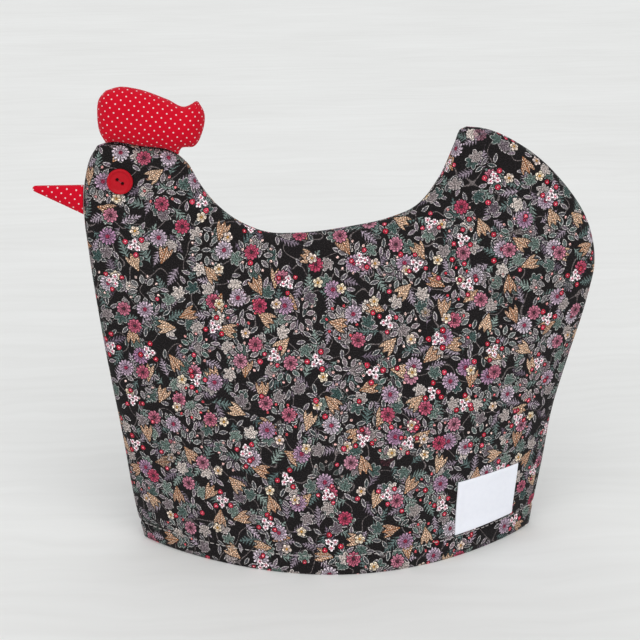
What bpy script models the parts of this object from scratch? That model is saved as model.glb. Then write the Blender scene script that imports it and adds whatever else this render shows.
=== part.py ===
"""Padded tea cosy in the shape of a hen, standing open on its hem.

Two padded cloth panels are sewn together along the breast, the head, the back and the rump, and
stand apart at the hem. A stuffed comb and a stuffed beak are caught in that seam, a two-hole
button is sewn on each side as an eye, and a bare cloth label sits above the hem.

Metres, +Z up. +X runs from the beak to the tail, the seam lies in the plane y = 0, and the front
panel is on the -Y side. The origin is on the floor, under the middle of the whole length.
"""
import bmesh
import bpy
import numpy as np
from mathutils import Matrix, Vector

# Seam line seen from the side: each row is (x, z), and a smooth curve runs through the rows.
BREAST = (
    (-0.1190, 0.0000), (-0.1226, 0.0160), (-0.1307, 0.0730), (-0.1414, 0.1470),
    (-0.1474, 0.2000), (-0.1494, 0.2270), (-0.1477, 0.2500), (-0.1443, 0.2622), (-0.1393, 0.2704),
)
TOP = (
    (-0.1393, 0.2704), (-0.1332, 0.2723), (-0.1124, 0.2698), (-0.0925, 0.2659), (-0.0842, 0.2592),
    (-0.0757, 0.2445), (-0.0648, 0.2302), (-0.0494, 0.2183), (-0.0327, 0.2116), (-0.0150, 0.2107),
    (0.0199, 0.2143), (0.0444, 0.2193), (0.0618, 0.2266), (0.0764, 0.2447), (0.0865, 0.2677),
    (0.0905, 0.2768), (0.0940, 0.2785),
)
RUMP = (
    (0.1452, 0.0000), (0.1476, 0.0180), (0.1518, 0.0462), (0.1575, 0.0871), (0.1661, 0.1213),
    (0.1774, 0.1646), (0.1809, 0.1870), (0.1758, 0.2128), (0.1568, 0.2423), (0.1311, 0.2650),
    (0.1035, 0.2775), (0.0940, 0.2785),
)

# How far each panel stands out from the seam plane.
SEAM_GAP = 0.0003  # between the two panels where they meet
HEM_DEPTH = 0.0688  # of one panel at the middle of the open hem
HEM_FULLNESS = 0.78  # power of the half sine wave that the hem follows; less is fuller
RISE_FULLNESS = 1.15  # power by which that depth goes to nothing towards the top seam
EDGE_RADIUS = 0.0085  # padded edge beside the seam
EDGE_AT_HEM = 0.35  # share of that padding left where the hem spreads the seam open
EDGE_REACH = 0.060  # height over which the padding comes back to full
EDGE_BLEND = 1.6  # power of the smooth sum of padding and opening
EDGE_LIP = 0.0008  # thickness left at the seam itself
WALL = 0.0062  # padded cloth, measured along Y
WAVE = 0.0007  # slight unevenness of the padding
WAVE_ACROSS = 9.0  # turns of the waves, in radians over the panel's width and height
WAVE_UP = 7.0
WAVE_ASLANT = 15.0
WAVE_SIDES = (3.0, 2.0)  # shift of the waves between the two panels

# The turned-up hem and its line of stitching.
STITCH_HEIGHT = 0.0125
HEM_GAIN = 0.32  # how much wider the hem grows towards the tail, as a share
STITCH_GROOVE = 0.0011
STITCH_WIDTH = 0.0017
HEM_BULGE = 0.0006
HEM_ROUND = 0.0016  # how far the bottom edge draws in
HEM_ROUND_HEIGHT = 0.0050

# Rows and columns of a panel's grid. The hem rows are heights, the rest is spaced evenly.
HEM_ZONE = 0.025
HEM_SHARE = 0.1  # share of the panel's rows that the hem zone takes
HEM_ROWS = (0.0, 0.0014, 0.0050, 0.0105, 0.0125, 0.0145, 0.0190)
PANEL_ROWS = 18
PANEL_COLUMNS = 27
EDGE_STEPS = (0.0, 0.08, 0.34, 0.95)  # of the padded edge's radius
PANEL_HEIGHT = 0.27
PANEL_WIDTH = 0.29
SHARP_ANGLE = np.radians(50.0)

# Comb: rows are (x, z), upwards on its front and back edges, and front to back on its top.
COMB_ROOT_X = (-0.1338, -0.0890)
COMB_FRONT = ((-0.1372, 0.2790), (-0.1385, 0.2900), (-0.1368, 0.3005), (-0.1327, 0.3051))
COMB_TOP = (
    (-0.1327, 0.3051), (-0.1240, 0.3073), (-0.1145, 0.3061), (-0.0948, 0.2990),
    (-0.0838, 0.2942), (-0.0796, 0.2960), (-0.0762, 0.2984),
)
COMB_BACK = (
    (-0.0870, 0.2682), (-0.0790, 0.2694), (-0.0733, 0.2790), (-0.0720, 0.2900), (-0.0762, 0.2984),
)
COMB_TIP_CENTRE = (-0.0767, 0.2958)  # of the circle that rounds its rear tip
COMB_TIP_WAY = (0.187, 0.982)
COMB_TIP_RADIUS = 0.0017
COMB_TIP_SPREAD = np.radians(50.0)
COMB_HALF = 0.0118
COMB_EDGE = 0.0150
COMB_CELLS = (18, 10)

# Beak: from its root on the breast seam to its tip.
BEAK_TIP = (-0.1809, 0.2438)
BEAK_TIP_HEIGHT = 0.0034
BEAK_ROOT_Z = (0.2266, 0.2454)
BEAK_HALF_ROOT = 0.0052
BEAK_HALF_TIP = 0.0016
BEAK_CELLS = (9, 6)

PINCH = 0.0007  # half thickness of a stuffed piece at its own seam
CROWDING = 0.65  # how much closer a stuffed piece's grid lines lie at its ends; 0 is even

# Eye buttons, placed by their share of the panel's width and height.
EYE_ACROSS = 0.070
EYE_UP = 0.912
BUTTON_RADIUS = 0.0082
BUTTON_THICK = 0.0026
BUTTON_RIM = 0.0013
BUTTON_DISH = 0.0008
BUTTON_EDGES = (0.60, 0.15)  # heights of its widest and lower edges, as shares of its thickness
BUTTON_HOLE_RADIUS = 0.00085
BUTTON_HOLE_SPACING = 0.0040
BUTTON_HOLE_TURN = np.radians(-38.0)
BUTTON_SIDES = 28
HOLE_SIDES = 10
SEAT_GAP = 0.0004  # between a sewn-on piece and the panel under it

# Label: shares of the panel's width, and heights above the floor.
LABEL_ACROSS = (0.7705, 0.9260)
LABEL_LEAN = 0.0071  # its upright edges turn from the panel's own by this share of the width
LABEL_HEIGHTS = (0.0162, 0.0526)
LABEL_RISE = 0.0025  # how much higher its tail end is
LABEL_THICK = 0.0010
LABEL_CELLS = (7, 4)

CURVE_STEPS = 600
SEAM_POINTS = 90
NORMAL_STEP = 0.01

# Colour, roughness and metallic value of each material.
FINISHES = {
    "printed_cotton": ((0.075, 0.062, 0.068), 0.85, 0.0),
    "dotted_cotton": ((0.560, 0.012, 0.035), 0.80, 0.0),
    "button_plastic": ((0.560, 0.010, 0.018), 0.35, 0.0),
    "label_cloth": ((0.780, 0.790, 0.830), 0.75, 0.0),
}


def clear_scene():
    """Remove every object that the scene starts with."""
    for item in list(bpy.context.scene.objects):
        bpy.data.objects.remove(item, do_unlink=True)


def new_collection(name):
    """Add a collection to the scene."""
    group = bpy.data.collections.new(name)
    bpy.context.scene.collection.children.link(group)
    return group


def finish(name):
    """Principled material with the named finish."""
    material = bpy.data.materials.get(name)
    if material is None:
        colour, roughness, metallic = FINISHES[name]
        material = bpy.data.materials.new(name)
        material.use_nodes = True
        shader = material.node_tree.nodes["Principled BSDF"]
        shader.inputs["Base Color"].default_value = (*colour, 1.0)
        shader.inputs["Roughness"].default_value = roughness
        shader.inputs["Metallic"].default_value = metallic
    return material


def smooth_curve(points, share):
    """Points at the given shares of the length of a smooth curve through the rows.

    Each stretch is a cubic arc whose end slopes come from the rows on either side.
    """
    points = np.array(points)
    steps = np.linalg.norm(np.diff(points, axis=0), axis=1)
    knots = np.concatenate([[0.0], np.cumsum(steps)])
    slopes = np.gradient(points, knots, axis=0)
    fine = np.linspace(0.0, knots[-1], CURVE_STEPS)
    row = np.clip(np.searchsorted(knots, fine, side="right") - 1, 0, len(steps) - 1)
    length = steps[row][:, None]
    u = (fine - knots[row])[:, None] / length
    curve = (
        (2 * u**3 - 3 * u**2 + 1) * points[row]
        + (u**3 - 2 * u**2 + u) * length * slopes[row]
        + (3 * u**2 - 2 * u**3) * points[row + 1]
        + (u**3 - u**2) * length * slopes[row + 1]
    )
    run = np.concatenate([[0.0], np.cumsum(np.linalg.norm(np.diff(curve, axis=0), axis=1))])
    at = np.asarray(share) * run[-1]
    return np.stack([np.interp(at, run, curve[:, 0]), np.interp(at, run, curve[:, 1])], axis=-1)


def curve_length(points):
    """Length of the smooth curve through the rows."""
    dense = smooth_curve(points, np.linspace(0.0, 1.0, CURVE_STEPS))
    return np.linalg.norm(np.diff(dense, axis=0), axis=1).sum()


def soft_step(value):
    """Smooth rise from 0 to 1."""
    value = np.clip(value, 0.0, 1.0)
    return value * value * (3.0 - 2.0 * value)


def four_sided(low, high, left, right, s, t, rise):
    """Points of a flat patch blended from its four sides, each a function of a share.

    s runs from left to right and t from low to high; rise is the share of the way from the low
    side to the high one.
    """
    s_column = s[:, None]
    rise = rise[:, None]
    ends = np.array([0.0, 1.0])
    low_ends, high_ends = low(ends), high(ends)
    corners = (1 - rise) * ((1 - s_column) * low_ends[0] + s_column * low_ends[1])
    corners += rise * ((1 - s_column) * high_ends[0] + s_column * high_ends[1])
    sides = (1 - s_column) * left(t) + s_column * right(t)
    return sides + (1 - rise) * low(s) + rise * high(s) - corners


def outward(points, share):
    """Unit normals of a smooth curve, on the left of its direction of travel."""
    step = smooth_curve(points, np.clip(share + NORMAL_STEP, 0, 1))
    step = step - smooth_curve(points, np.clip(share - NORMAL_STEP, 0, 1))
    step /= np.linalg.norm(step, axis=1)[:, None]
    return np.stack([-step[:, 1], step[:, 0]], axis=-1)


def distance_to(line, points):
    """Distance from each point to a line of joined straight stretches."""
    stretch = np.diff(line, axis=0)
    real = (stretch**2).sum(axis=1) > 0.0
    start, stretch = line[:-1][real], stretch[real]
    away = points[:, None, :] - start[None]
    along = (away * stretch).sum(axis=2) / (stretch**2).sum(axis=1)
    away -= np.clip(along, 0.0, 1.0)[..., None] * stretch
    return np.linalg.norm(away, axis=2).min(axis=1)


def round_rise(distance, radius):
    """Quarter circle: 0 at the edge, 1 at one radius from it and beyond."""
    return np.sqrt(1.0 - (1.0 - np.clip(distance / radius, 0.0, 1.0)) ** 2)


def side_share(points, t):
    """Share of a side seam's length at height share t, with the hem zone at its own real height."""
    length = curve_length(points)
    above = HEM_ZONE + (t - HEM_SHARE) / (1.0 - HEM_SHARE) * (length - HEM_ZONE)
    return np.where(t < HEM_SHARE, hem_height(t), above) / length


def hem_line(s):
    """Straight line on the floor between the two ends of the side seams."""
    return np.stack([BREAST[0][0] + (RUMP[0][0] - BREAST[0][0]) * s, 0.0 * s], axis=-1)


def panel_outline():
    """The whole side and top seam as one line of points."""
    share = np.linspace(0.0, 1.0, SEAM_POINTS)
    stretches = [smooth_curve(rows, share) for rows in (BREAST, TOP)]
    stretches.append(smooth_curve(RUMP, share)[::-1])
    return np.concatenate(stretches)


def hem_height(t):
    """Height of a row in the hem, before the hem widens towards the tail."""
    return t / HEM_SHARE * HEM_ZONE


def stitch_dip(t):
    """Share of the stitch groove's depth at each row."""
    return np.exp(-(((hem_height(t) - STITCH_HEIGHT) / STITCH_WIDTH) ** 2))


def panel_flat(s, t):
    """Place of each panel point in the seam plane, as (x, z)."""
    inward = STITCH_GROOVE * stitch_dip(t) * (1.0 - 2.0 * s)
    t = t * (1.0 + HEM_GAIN * s**3 * (1.0 - t) ** 2)
    rise = soft_step((t - HEM_SHARE) / (1.0 - HEM_SHARE))
    flat = four_sided(
        hem_line,
        lambda share: smooth_curve(TOP, share),
        lambda share: smooth_curve(BREAST, side_share(BREAST, share)),
        lambda share: smooth_curve(RUMP, side_share(RUMP, share)),
        s, t, rise,
    )
    flat[:, 0] += inward
    return flat


def panel_depth(flat, s, t, side):
    """Depth of the panel's outer and inner skins from the seam plane.

    The padded edge beside the seam and the opening at the hem are added smoothly.
    """
    height = hem_height(t)
    roundness = round_rise(distance_to(panel_outline(), flat), EDGE_RADIUS)
    padding = EDGE_LIP + (EDGE_RADIUS - EDGE_LIP) * roundness
    padding *= EDGE_AT_HEM + (1.0 - EDGE_AT_HEM) * soft_step(flat[:, 1] / EDGE_REACH)
    opening = HEM_DEPTH * np.sin(np.pi * np.clip(s, 0.0, 1.0)) ** HEM_FULLNESS
    opening = opening * (1.0 - np.clip(t, 0.0, 1.0) ** RISE_FULLNESS)
    smooth = (padding**EDGE_BLEND + opening**EDGE_BLEND) ** (1.0 / EDGE_BLEND)
    inner = np.maximum(smooth - WALL, 0.0)
    relief = HEM_BULGE * np.sin(np.pi * np.clip(height / STITCH_HEIGHT, 0.0, 1.0))
    relief -= STITCH_GROOVE * stitch_dip(t)
    relief -= HEM_ROUND * (1.0 - np.clip(height / HEM_ROUND_HEIGHT, 0.0, 1.0)) ** 2
    waves = np.sin(WAVE_ACROSS * s + WAVE_SIDES[0] * side) * np.sin(WAVE_UP * t)
    waves += np.sin(WAVE_ASLANT * s * t + WAVE_SIDES[1] * side) * t
    relief += WAVE * waves * np.sin(np.pi * t)
    outer = smooth + relief * np.clip(smooth / EDGE_RADIUS, 0.0, 1.0)
    return np.maximum(outer, EDGE_LIP * EDGE_AT_HEM), inner


def panel_point(side, s, t, outer):
    """Points of one panel's outer or inner skin; side is -1 for the front and +1 for the back."""
    flat = panel_flat(s, t)
    outer_depth, inner_depth = panel_depth(flat, s, t, side)
    depth = np.where(outer, outer_depth, inner_depth) + SEAM_GAP / 2
    return np.stack([flat[:, 0], side * depth, flat[:, 1]], axis=-1)


def panel_normal(side, s, t):
    """Outward unit normals of one panel's outer skin."""
    reach = NORMAL_STEP
    across = panel_point(side, s + reach, t, True) - panel_point(side, s - reach, t, True)
    upward = panel_point(side, s, t + reach, True) - panel_point(side, s, t - reach, True)
    normal = np.cross(across, upward)
    normal *= np.sign(normal[:, 1:2]) * side
    return normal / np.linalg.norm(normal, axis=1)[:, None]


def slab(name, columns, rows, place, material, group):
    """Closed sheet: a grid thickened to two skins, whose points place() then moves.

    columns and rows are the shares from 0 to 1 at which the grid's lines lie.
    """
    work = bmesh.new()
    bmesh.ops.create_grid(work, x_segments=len(columns) - 1, y_segments=len(rows) - 1, size=0.5)
    grown = bmesh.ops.extrude_face_region(work, geom=work.faces[:])
    raised = [item for item in grown["geom"] if isinstance(item, bmesh.types.BMVert)]
    bmesh.ops.translate(work, verts=raised, vec=(0.0, 0.0, 1.0))
    grid = np.array([vertex.co for vertex in work.verts])
    column = np.rint((grid[:, 0] + 0.5) * (len(columns) - 1)).astype(int)
    row = np.rint((grid[:, 1] + 0.5) * (len(rows) - 1)).astype(int)
    points = place(np.array(columns)[column], np.array(rows)[row], grid[:, 2] > 0.5)
    for vertex, point in zip(work.verts, points):
        vertex.co = point
    bmesh.ops.recalc_face_normals(work, faces=work.faces[:])
    return mesh_object(name, work, material, group)


def mesh_object(name, work, material, group):
    """Object in a collection, with its mesh taken from a bmesh and shaded smooth."""
    mesh = bpy.data.meshes.new(name)
    work.to_mesh(mesh)
    work.free()
    mesh.materials.append(finish(material))
    mesh.shade_smooth()
    mesh.set_sharp_from_angle(angle=SHARP_ANGLE)
    item = bpy.data.objects.new(name, mesh)
    group.objects.link(item)
    return item


def panel_lines():
    """Columns and rows of a panel's grid, close together at the padded edges and the hem."""
    edge = np.array(EDGE_STEPS) * EDGE_RADIUS
    columns = edge / PANEL_WIDTH
    between = np.linspace(columns[-1], 1.0 - columns[-1], PANEL_COLUMNS)[1:-1]
    columns = np.concatenate([columns, between, 1.0 - columns[::-1]])
    hem = np.array(HEM_ROWS) / HEM_ZONE * HEM_SHARE
    top = 1.0 - edge[::-1] / PANEL_HEIGHT
    between = np.linspace(HEM_SHARE, top[0], PANEL_ROWS)[:-1]
    return columns, np.concatenate([hem, between, top])


def make_panel(name, side, group):
    """Padded cloth panel with its turned-up hem."""
    columns, rows = panel_lines()

    def place(s, t, outer):
        return panel_point(side, s, t, outer)

    return slab(name, columns, rows, place, "printed_cotton", group)


def stuffed(flat, half, outer):
    """Points of a stuffed piece, half its thickness to each side of the seam plane."""
    return np.stack([flat[:, 0], np.where(outer, -half, half), flat[:, 1]], axis=-1)


def share_at(points, column, value):
    """Share of a smooth curve's length at which one of its coordinates first has a value."""
    share = np.linspace(0.0, 1.0, CURVE_STEPS)
    return share[np.argmin(np.abs(smooth_curve(points, share)[:, column] - value))]


def seated_curve(points, first, last, share):
    """Stretch of a seam curve, moved out by the gap that a piece sewn into it keeps."""
    at = first + (last - first) * np.asarray(share)
    return smooth_curve(points, at) + SEAT_GAP * outward(points, at)


def rounded_tip(flat):
    """The comb's flat points, with those beyond the tip's circle drawn in to it."""
    away = flat - np.array(COMB_TIP_CENTRE)
    length = np.linalg.norm(away, axis=1)
    towards = away @ np.array(COMB_TIP_WAY) > length * np.cos(COMB_TIP_SPREAD)
    beyond = towards & (length > COMB_TIP_RADIUS)
    share = np.where(beyond, COMB_TIP_RADIUS / np.maximum(length, COMB_TIP_RADIUS), 1.0)
    return np.array(COMB_TIP_CENTRE) + away * share[:, None]


def make_comb(group):
    """Stuffed comb, caught by its root in the seam on top of the head."""
    first = share_at(TOP, 0, COMB_ROOT_X[0])
    last = share_at(TOP, 0, COMB_ROOT_X[1])
    root_ends = seated_curve(TOP, first, last, np.array([0.0, 1.0]))
    front = (tuple(root_ends[0]),) + COMB_FRONT
    back = (tuple(root_ends[1]),) + COMB_BACK

    def root(share):
        return seated_curve(TOP, first, last, share)

    share = np.linspace(0.0, 1.0, SEAM_POINTS)
    top, rise = smooth_curve(COMB_TOP, share), smooth_curve(front, share)
    edge = np.concatenate([root(share), smooth_curve(back, share), top[::-1], rise[::-1]])
    edge = rounded_tip(edge)

    def place(s, t, outer):
        flat = rounded_tip(four_sided(
            root,
            lambda part: smooth_curve(COMB_TOP, part),
            lambda part: smooth_curve(front, part),
            lambda part: smooth_curve(back, part),
            s, t, t,
        ))
        half = PINCH + (COMB_HALF - PINCH) * round_rise(distance_to(edge, flat), COMB_EDGE)
        return stuffed(flat, half, outer)

    columns, rows = (soft_lines(cells) for cells in COMB_CELLS)
    return slab("comb", columns, rows, place, "dotted_cotton", group)


def soft_lines(cells):
    """Grid lines that lie closer together towards both ends."""
    even = np.linspace(0.0, 1.0, cells + 1)
    return (1.0 - CROWDING) * even + CROWDING * 0.5 * (1.0 - np.cos(np.pi * even))


def make_beak(group):
    """Stuffed beak: an oval section that runs from the breast seam to a round tip."""
    first = share_at(BREAST, 1, BEAK_ROOT_Z[0])
    last = share_at(BREAST, 1, BEAK_ROOT_Z[1])

    def root(share):
        return seated_curve(BREAST, first, last, share)

    def tip(share):
        up = 2.0 * share - 1.0
        curve = np.stack([1.0 - np.sqrt(np.maximum(1.0 - up**2, 0.0)), up], axis=-1)
        return np.array(BEAK_TIP) + BEAK_TIP_HEIGHT / 2 * curve

    def edge(end):
        start, stop = tip(np.array([end]))[0], root(np.array([end]))[0]
        return lambda share: start + (stop - start) * share[:, None]

    def place(s, t, outer):
        flat = four_sided(edge(0.0), edge(1.0), tip, root, s, t, t)
        full = BEAK_HALF_TIP + (BEAK_HALF_ROOT - BEAK_HALF_TIP) * np.sqrt(s)
        half = PINCH + (full - PINCH) * np.sqrt(1.0 - (2.0 * t - 1.0) ** 2)
        return stuffed(flat, half, outer)

    columns = np.linspace(0.0, 1.0, BEAK_CELLS[0] + 1)
    return slab("beak", columns, soft_lines(BEAK_CELLS[1]), place, "dotted_cotton", group)


def button_profile():
    """Half section of the button as (radius, height), down its outer side from the dished face."""
    rim = BUTTON_RADIUS - BUTTON_RIM
    wide, lower = (share * BUTTON_THICK for share in BUTTON_EDGES)
    return (
        (0.0, BUTTON_THICK - BUTTON_DISH),
        (rim - BUTTON_RIM, BUTTON_THICK - BUTTON_DISH),
        (rim, BUTTON_THICK),
        (BUTTON_RADIUS - BUTTON_RIM / 2, BUTTON_THICK),
        (BUTTON_RADIUS, wide),
        (BUTTON_RADIUS - BUTTON_RIM / 2, lower),
        (rim, 0.0),
        (0.0, 0.0),
    )


def make_button(name, side, group, cutters):
    """Two-hole button: a turned disc with a raised rim, lying on the panel as an eye."""
    work = bmesh.new()
    points = [work.verts.new((radius, 0.0, height)) for radius, height in button_profile()]
    for start, stop in zip(points, points[1:]):
        work.edges.new((start, stop))
    item = mesh_object(name, work, "button_plastic", group)
    turned = item.modifiers.new("turned", "SCREW")
    turned.steps = turned.render_steps = BUTTON_SIDES
    turned.use_merge_vertices = True
    turned.merge_threshold = 0.00001
    s, t = np.array([EYE_ACROSS]), np.array([EYE_UP])
    normal = Vector(panel_normal(side, s, t)[0])
    seat = Vector(panel_point(side, s, t, True)[0]) + normal * SEAT_GAP
    upright = normal.to_track_quat("Z", "Y").to_matrix().to_4x4()
    item.matrix_world = Matrix.Translation(seat) @ upright
    for index, way in enumerate((-1.0, 1.0)):
        hole = bmesh.new()
        bmesh.ops.create_cone(
            hole, cap_ends=True, segments=HOLE_SIDES, depth=4.0 * BUTTON_THICK,
            radius1=BUTTON_HOLE_RADIUS, radius2=BUTTON_HOLE_RADIUS,
        )
        cutter = mesh_object(f"{name}_hole_{index}", hole, "button_plastic", cutters)
        cutter.display_type = "WIRE"
        cutter.hide_render = True
        aside = Vector((way * BUTTON_HOLE_SPACING / 2, 0.0, 0.0))
        aside = Matrix.Rotation(BUTTON_HOLE_TURN, 4, "Z") @ aside
        cutter.matrix_world = item.matrix_world @ Matrix.Translation(aside)
        cut = item.modifiers.new(f"hole_{index}", "BOOLEAN")
        cut.operation = "DIFFERENCE"
        cut.solver = "EXACT"
        cut.object = cutter
    return item


def share_at_height(s, height):
    """Height share of the panel at which its column of points at s reaches a height."""
    t = np.linspace(0.0, 0.5, CURVE_STEPS)
    reached = panel_flat(np.full_like(t, s), t)[:, 1]
    return np.interp(height, reached, t)


def make_label(group):
    """Oblong cloth label, sewn on the front panel and bent to its curve."""
    columns = np.linspace(0.0, 1.0, LABEL_CELLS[0] + 1)
    rows = np.linspace(0.0, 1.0, LABEL_CELLS[1] + 1)
    low, high = LABEL_HEIGHTS

    def place(u, v, outer):
        s = LABEL_ACROSS[0] + (LABEL_ACROSS[1] - LABEL_ACROSS[0]) * u - LABEL_LEAN * v
        height = low + (high - low) * v + LABEL_RISE * u
        t = np.array([share_at_height(*at) for at in zip(s, height)])
        lift = SEAT_GAP + np.where(outer, LABEL_THICK, 0.0)
        return panel_point(-1, s, t, True) + panel_normal(-1, s, t) * lift[:, None]

    return slab("label", columns, rows, place, "label_cloth", group)


def main():
    """Build every piece."""
    clear_scene()
    group = new_collection("tea_cosy")
    cutters = new_collection("cutters")
    make_panel("front_panel", -1, group)
    make_panel("back_panel", 1, group)
    make_comb(group)
    make_beak(group)
    make_button("eye_button_front", -1, group, cutters)
    make_button("eye_button_back", 1, group, cutters)
    make_label(group)


main()
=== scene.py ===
"""Looks of the padded hen tea cosy: cloth, print, stitching, button, label, floor and light.

Every surface is worked out from the sizes in the part's own source, which are repeated here.
Metres, +Z up. The seam lies in the plane y = 0 and the labelled panel faces -Y.
"""

from collections import namedtuple

import bpy
import numpy as np
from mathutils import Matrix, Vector


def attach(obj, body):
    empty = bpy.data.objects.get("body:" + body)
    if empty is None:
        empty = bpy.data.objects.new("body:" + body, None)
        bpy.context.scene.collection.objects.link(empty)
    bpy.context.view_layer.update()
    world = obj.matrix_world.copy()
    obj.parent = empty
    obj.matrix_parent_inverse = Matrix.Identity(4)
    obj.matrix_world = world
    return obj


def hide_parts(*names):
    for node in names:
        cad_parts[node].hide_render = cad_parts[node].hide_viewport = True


# Seam line seen from the side: each row is (x, z), and a smooth curve runs through the rows.
BREAST = (
    (-0.1190, 0.0000), (-0.1226, 0.0160), (-0.1307, 0.0730), (-0.1414, 0.1470),
    (-0.1474, 0.2000), (-0.1494, 0.2270), (-0.1477, 0.2500), (-0.1443, 0.2622), (-0.1393, 0.2704),
)
TOP = (
    (-0.1393, 0.2704), (-0.1332, 0.2723), (-0.1124, 0.2698), (-0.0925, 0.2659), (-0.0842, 0.2592),
    (-0.0757, 0.2445), (-0.0648, 0.2302), (-0.0494, 0.2183), (-0.0327, 0.2116), (-0.0150, 0.2107),
    (0.0199, 0.2143), (0.0444, 0.2193), (0.0618, 0.2266), (0.0764, 0.2447), (0.0865, 0.2677),
    (0.0905, 0.2768), (0.0940, 0.2785),
)
RUMP = (
    (0.1452, 0.0000), (0.1476, 0.0180), (0.1518, 0.0462), (0.1575, 0.0871), (0.1661, 0.1213),
    (0.1774, 0.1646), (0.1809, 0.1870), (0.1758, 0.2128), (0.1568, 0.2423), (0.1311, 0.2650),
    (0.1035, 0.2775), (0.0940, 0.2785),
)

# Panel form. Here the two panels meet in the seam plane.
HEM_DEPTH = 0.0688
HEM_FULLNESS = 0.78
RISE_FULLNESS = 1.15
EDGE_RADIUS = 0.0085
EDGE_AT_HEM = 0.35
EDGE_REACH = 0.060
EDGE_BLEND = 1.6
EDGE_LIP = 0.0008
WALL = 0.0062
WAVE = 0.0007
WAVE_ACROSS = 9.0
WAVE_UP = 7.0
WAVE_ASLANT = 15.0
WAVE_SIDES = (3.0, 2.0)
STITCH_HEIGHT = 0.0125
HEM_GAIN = 0.32
STITCH_GROOVE = 0.0011
STITCH_WIDTH = 0.0017
HEM_BULGE = 0.0006
HEM_ROUND = 0.0016
HEM_ROUND_HEIGHT = 0.0050
HEM_ZONE = 0.025
HEM_SHARE = 0.1

# Cloth that only shows close up. A second or third wave is given by its turns and its height,
# each as a share of the first wave's.
PUCKER = 0.00040  # height of the gathers beside the seam
PUCKER_START = 0.0025  # they fade in over this distance from it
PUCKER_REACH = 0.011  # and out again over this one
PUCKER_PITCH = 0.0075
PUCKER_SECOND = (0.61, 0.7)
PUCKER_THIRD = (1.73, 0.5)
PUCKER_WANDER = 0.2  # turns of the slow wave that shifts the third
PUCKER_SWELL = (0.6, 0.4, 0.083)  # mean strength, change of strength and its turns
STITCH_PUCKER = 0.00030  # height of the gathers beside the hem's stitching
STITCH_PUCKER_REACH = 0.0045
STITCH_PUCKER_SECOND = (0.37, 0.8)
HEM_RUN = 0.30  # length of one panel's hem, near enough for its gathers
EDGE_TURN_AT_HEM = 0.2  # least share of the edge's rounding that lengthens the flat cloth

# Grids of a panel.
PANEL_WIDTH = 0.29
PANEL_RISE = 0.27
PANEL_COLUMNS = 186
PANEL_ROWS = 142
HEM_ROWS = 40
EDGE_LINES = 9  # within each padded edge
CROWDING = 0.75  # how much closer the lines of other grids lie at their ends

# Topstitching round the hem, and the beads that its stitches and the button's strands are.
THREAD = 0.00030  # half thickness of the thread
STITCH_PITCH = 0.0042
STITCH_SHOWN = 0.80  # share of the pitch over which the thread lies on top
STITCH_ENDS = (0.008, 0.992)  # shares of the hem between which it runs
STITCH_SEARCH = 2000
STITCH_UNEVEN = (0.06, 2.3)  # shift along the hem in stitches, and its turn a stitch
STITCH_STRAY = (0.0006, 1.7)  # shift up in height shares, and its turn a stitch
STITCH_STEP = 0.002
STITCH_RISE = 0.004
BEAD_RINGS = 9
BEAD_SIDES = 8
BEAD_BLUNT = 0.004  # keeps a bead's ends from closing to a point
BEAD_ARC = (1.3, 1.6)  # height of its middle line and fall to its ends, in half thicknesses

# Comb.
COMB_ROOT_X = (-0.1338, -0.0890)
COMB_FRONT = ((-0.1372, 0.2790), (-0.1385, 0.2900), (-0.1368, 0.3005), (-0.1327, 0.3051))
COMB_TOP = (
    (-0.1327, 0.3051), (-0.1240, 0.3073), (-0.1145, 0.3061), (-0.0948, 0.2990),
    (-0.0838, 0.2942), (-0.0796, 0.2960), (-0.0762, 0.2984),
)
COMB_BACK = (
    (-0.0870, 0.2682), (-0.0790, 0.2694), (-0.0733, 0.2790), (-0.0720, 0.2900), (-0.0762, 0.2984),
)
COMB_TIP_CENTRE = (-0.0767, 0.2958)  # of the circle that rounds its rear tip
COMB_TIP_WAY = (0.187, 0.982)
COMB_TIP_RADIUS = 0.0017
COMB_TIP_SPREAD = np.radians(50.0)
COMB_HALF = 0.0118
COMB_EDGE = 0.0150
COMB_EDGE_TURN = 0.6  # share of the edge's rounding that lengthens the flat cloth
COMB_PUCKER = 0.00035
COMB_PUCKER_PITCH = 0.0052
COMB_PUCKER_SECOND = (0.57, 0.6)
COMB_PUCKER_START = 0.002
COMB_PUCKER_REACH = 0.006
COMB_GRID = (150, 90)

# Beak.
BEAK_TIP = (-0.1809, 0.2438)
BEAK_TIP_HEIGHT = 0.0034
BEAK_TIP_CLOSING = 0.05  # share of the length over which the tip closes
BEAK_TIP_LEAST = 0.25  # thickness that it closes to, as a share
BEAK_ROOT_Z = (0.2266, 0.2454)
BEAK_HALF_ROOT = 0.0052
BEAK_HALF_TIP = 0.0016
BEAK_WAVE = (0.00015, 95.0)  # height of the creases across it, and their turns
BEAK_GRID = (70, 40)
BEAK_CROWDING = 1.3
PINCH = 0.0007
FAR_DOTS = (0.0021, 0.0013)  # shift of the dots on the far side of comb and beak

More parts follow.
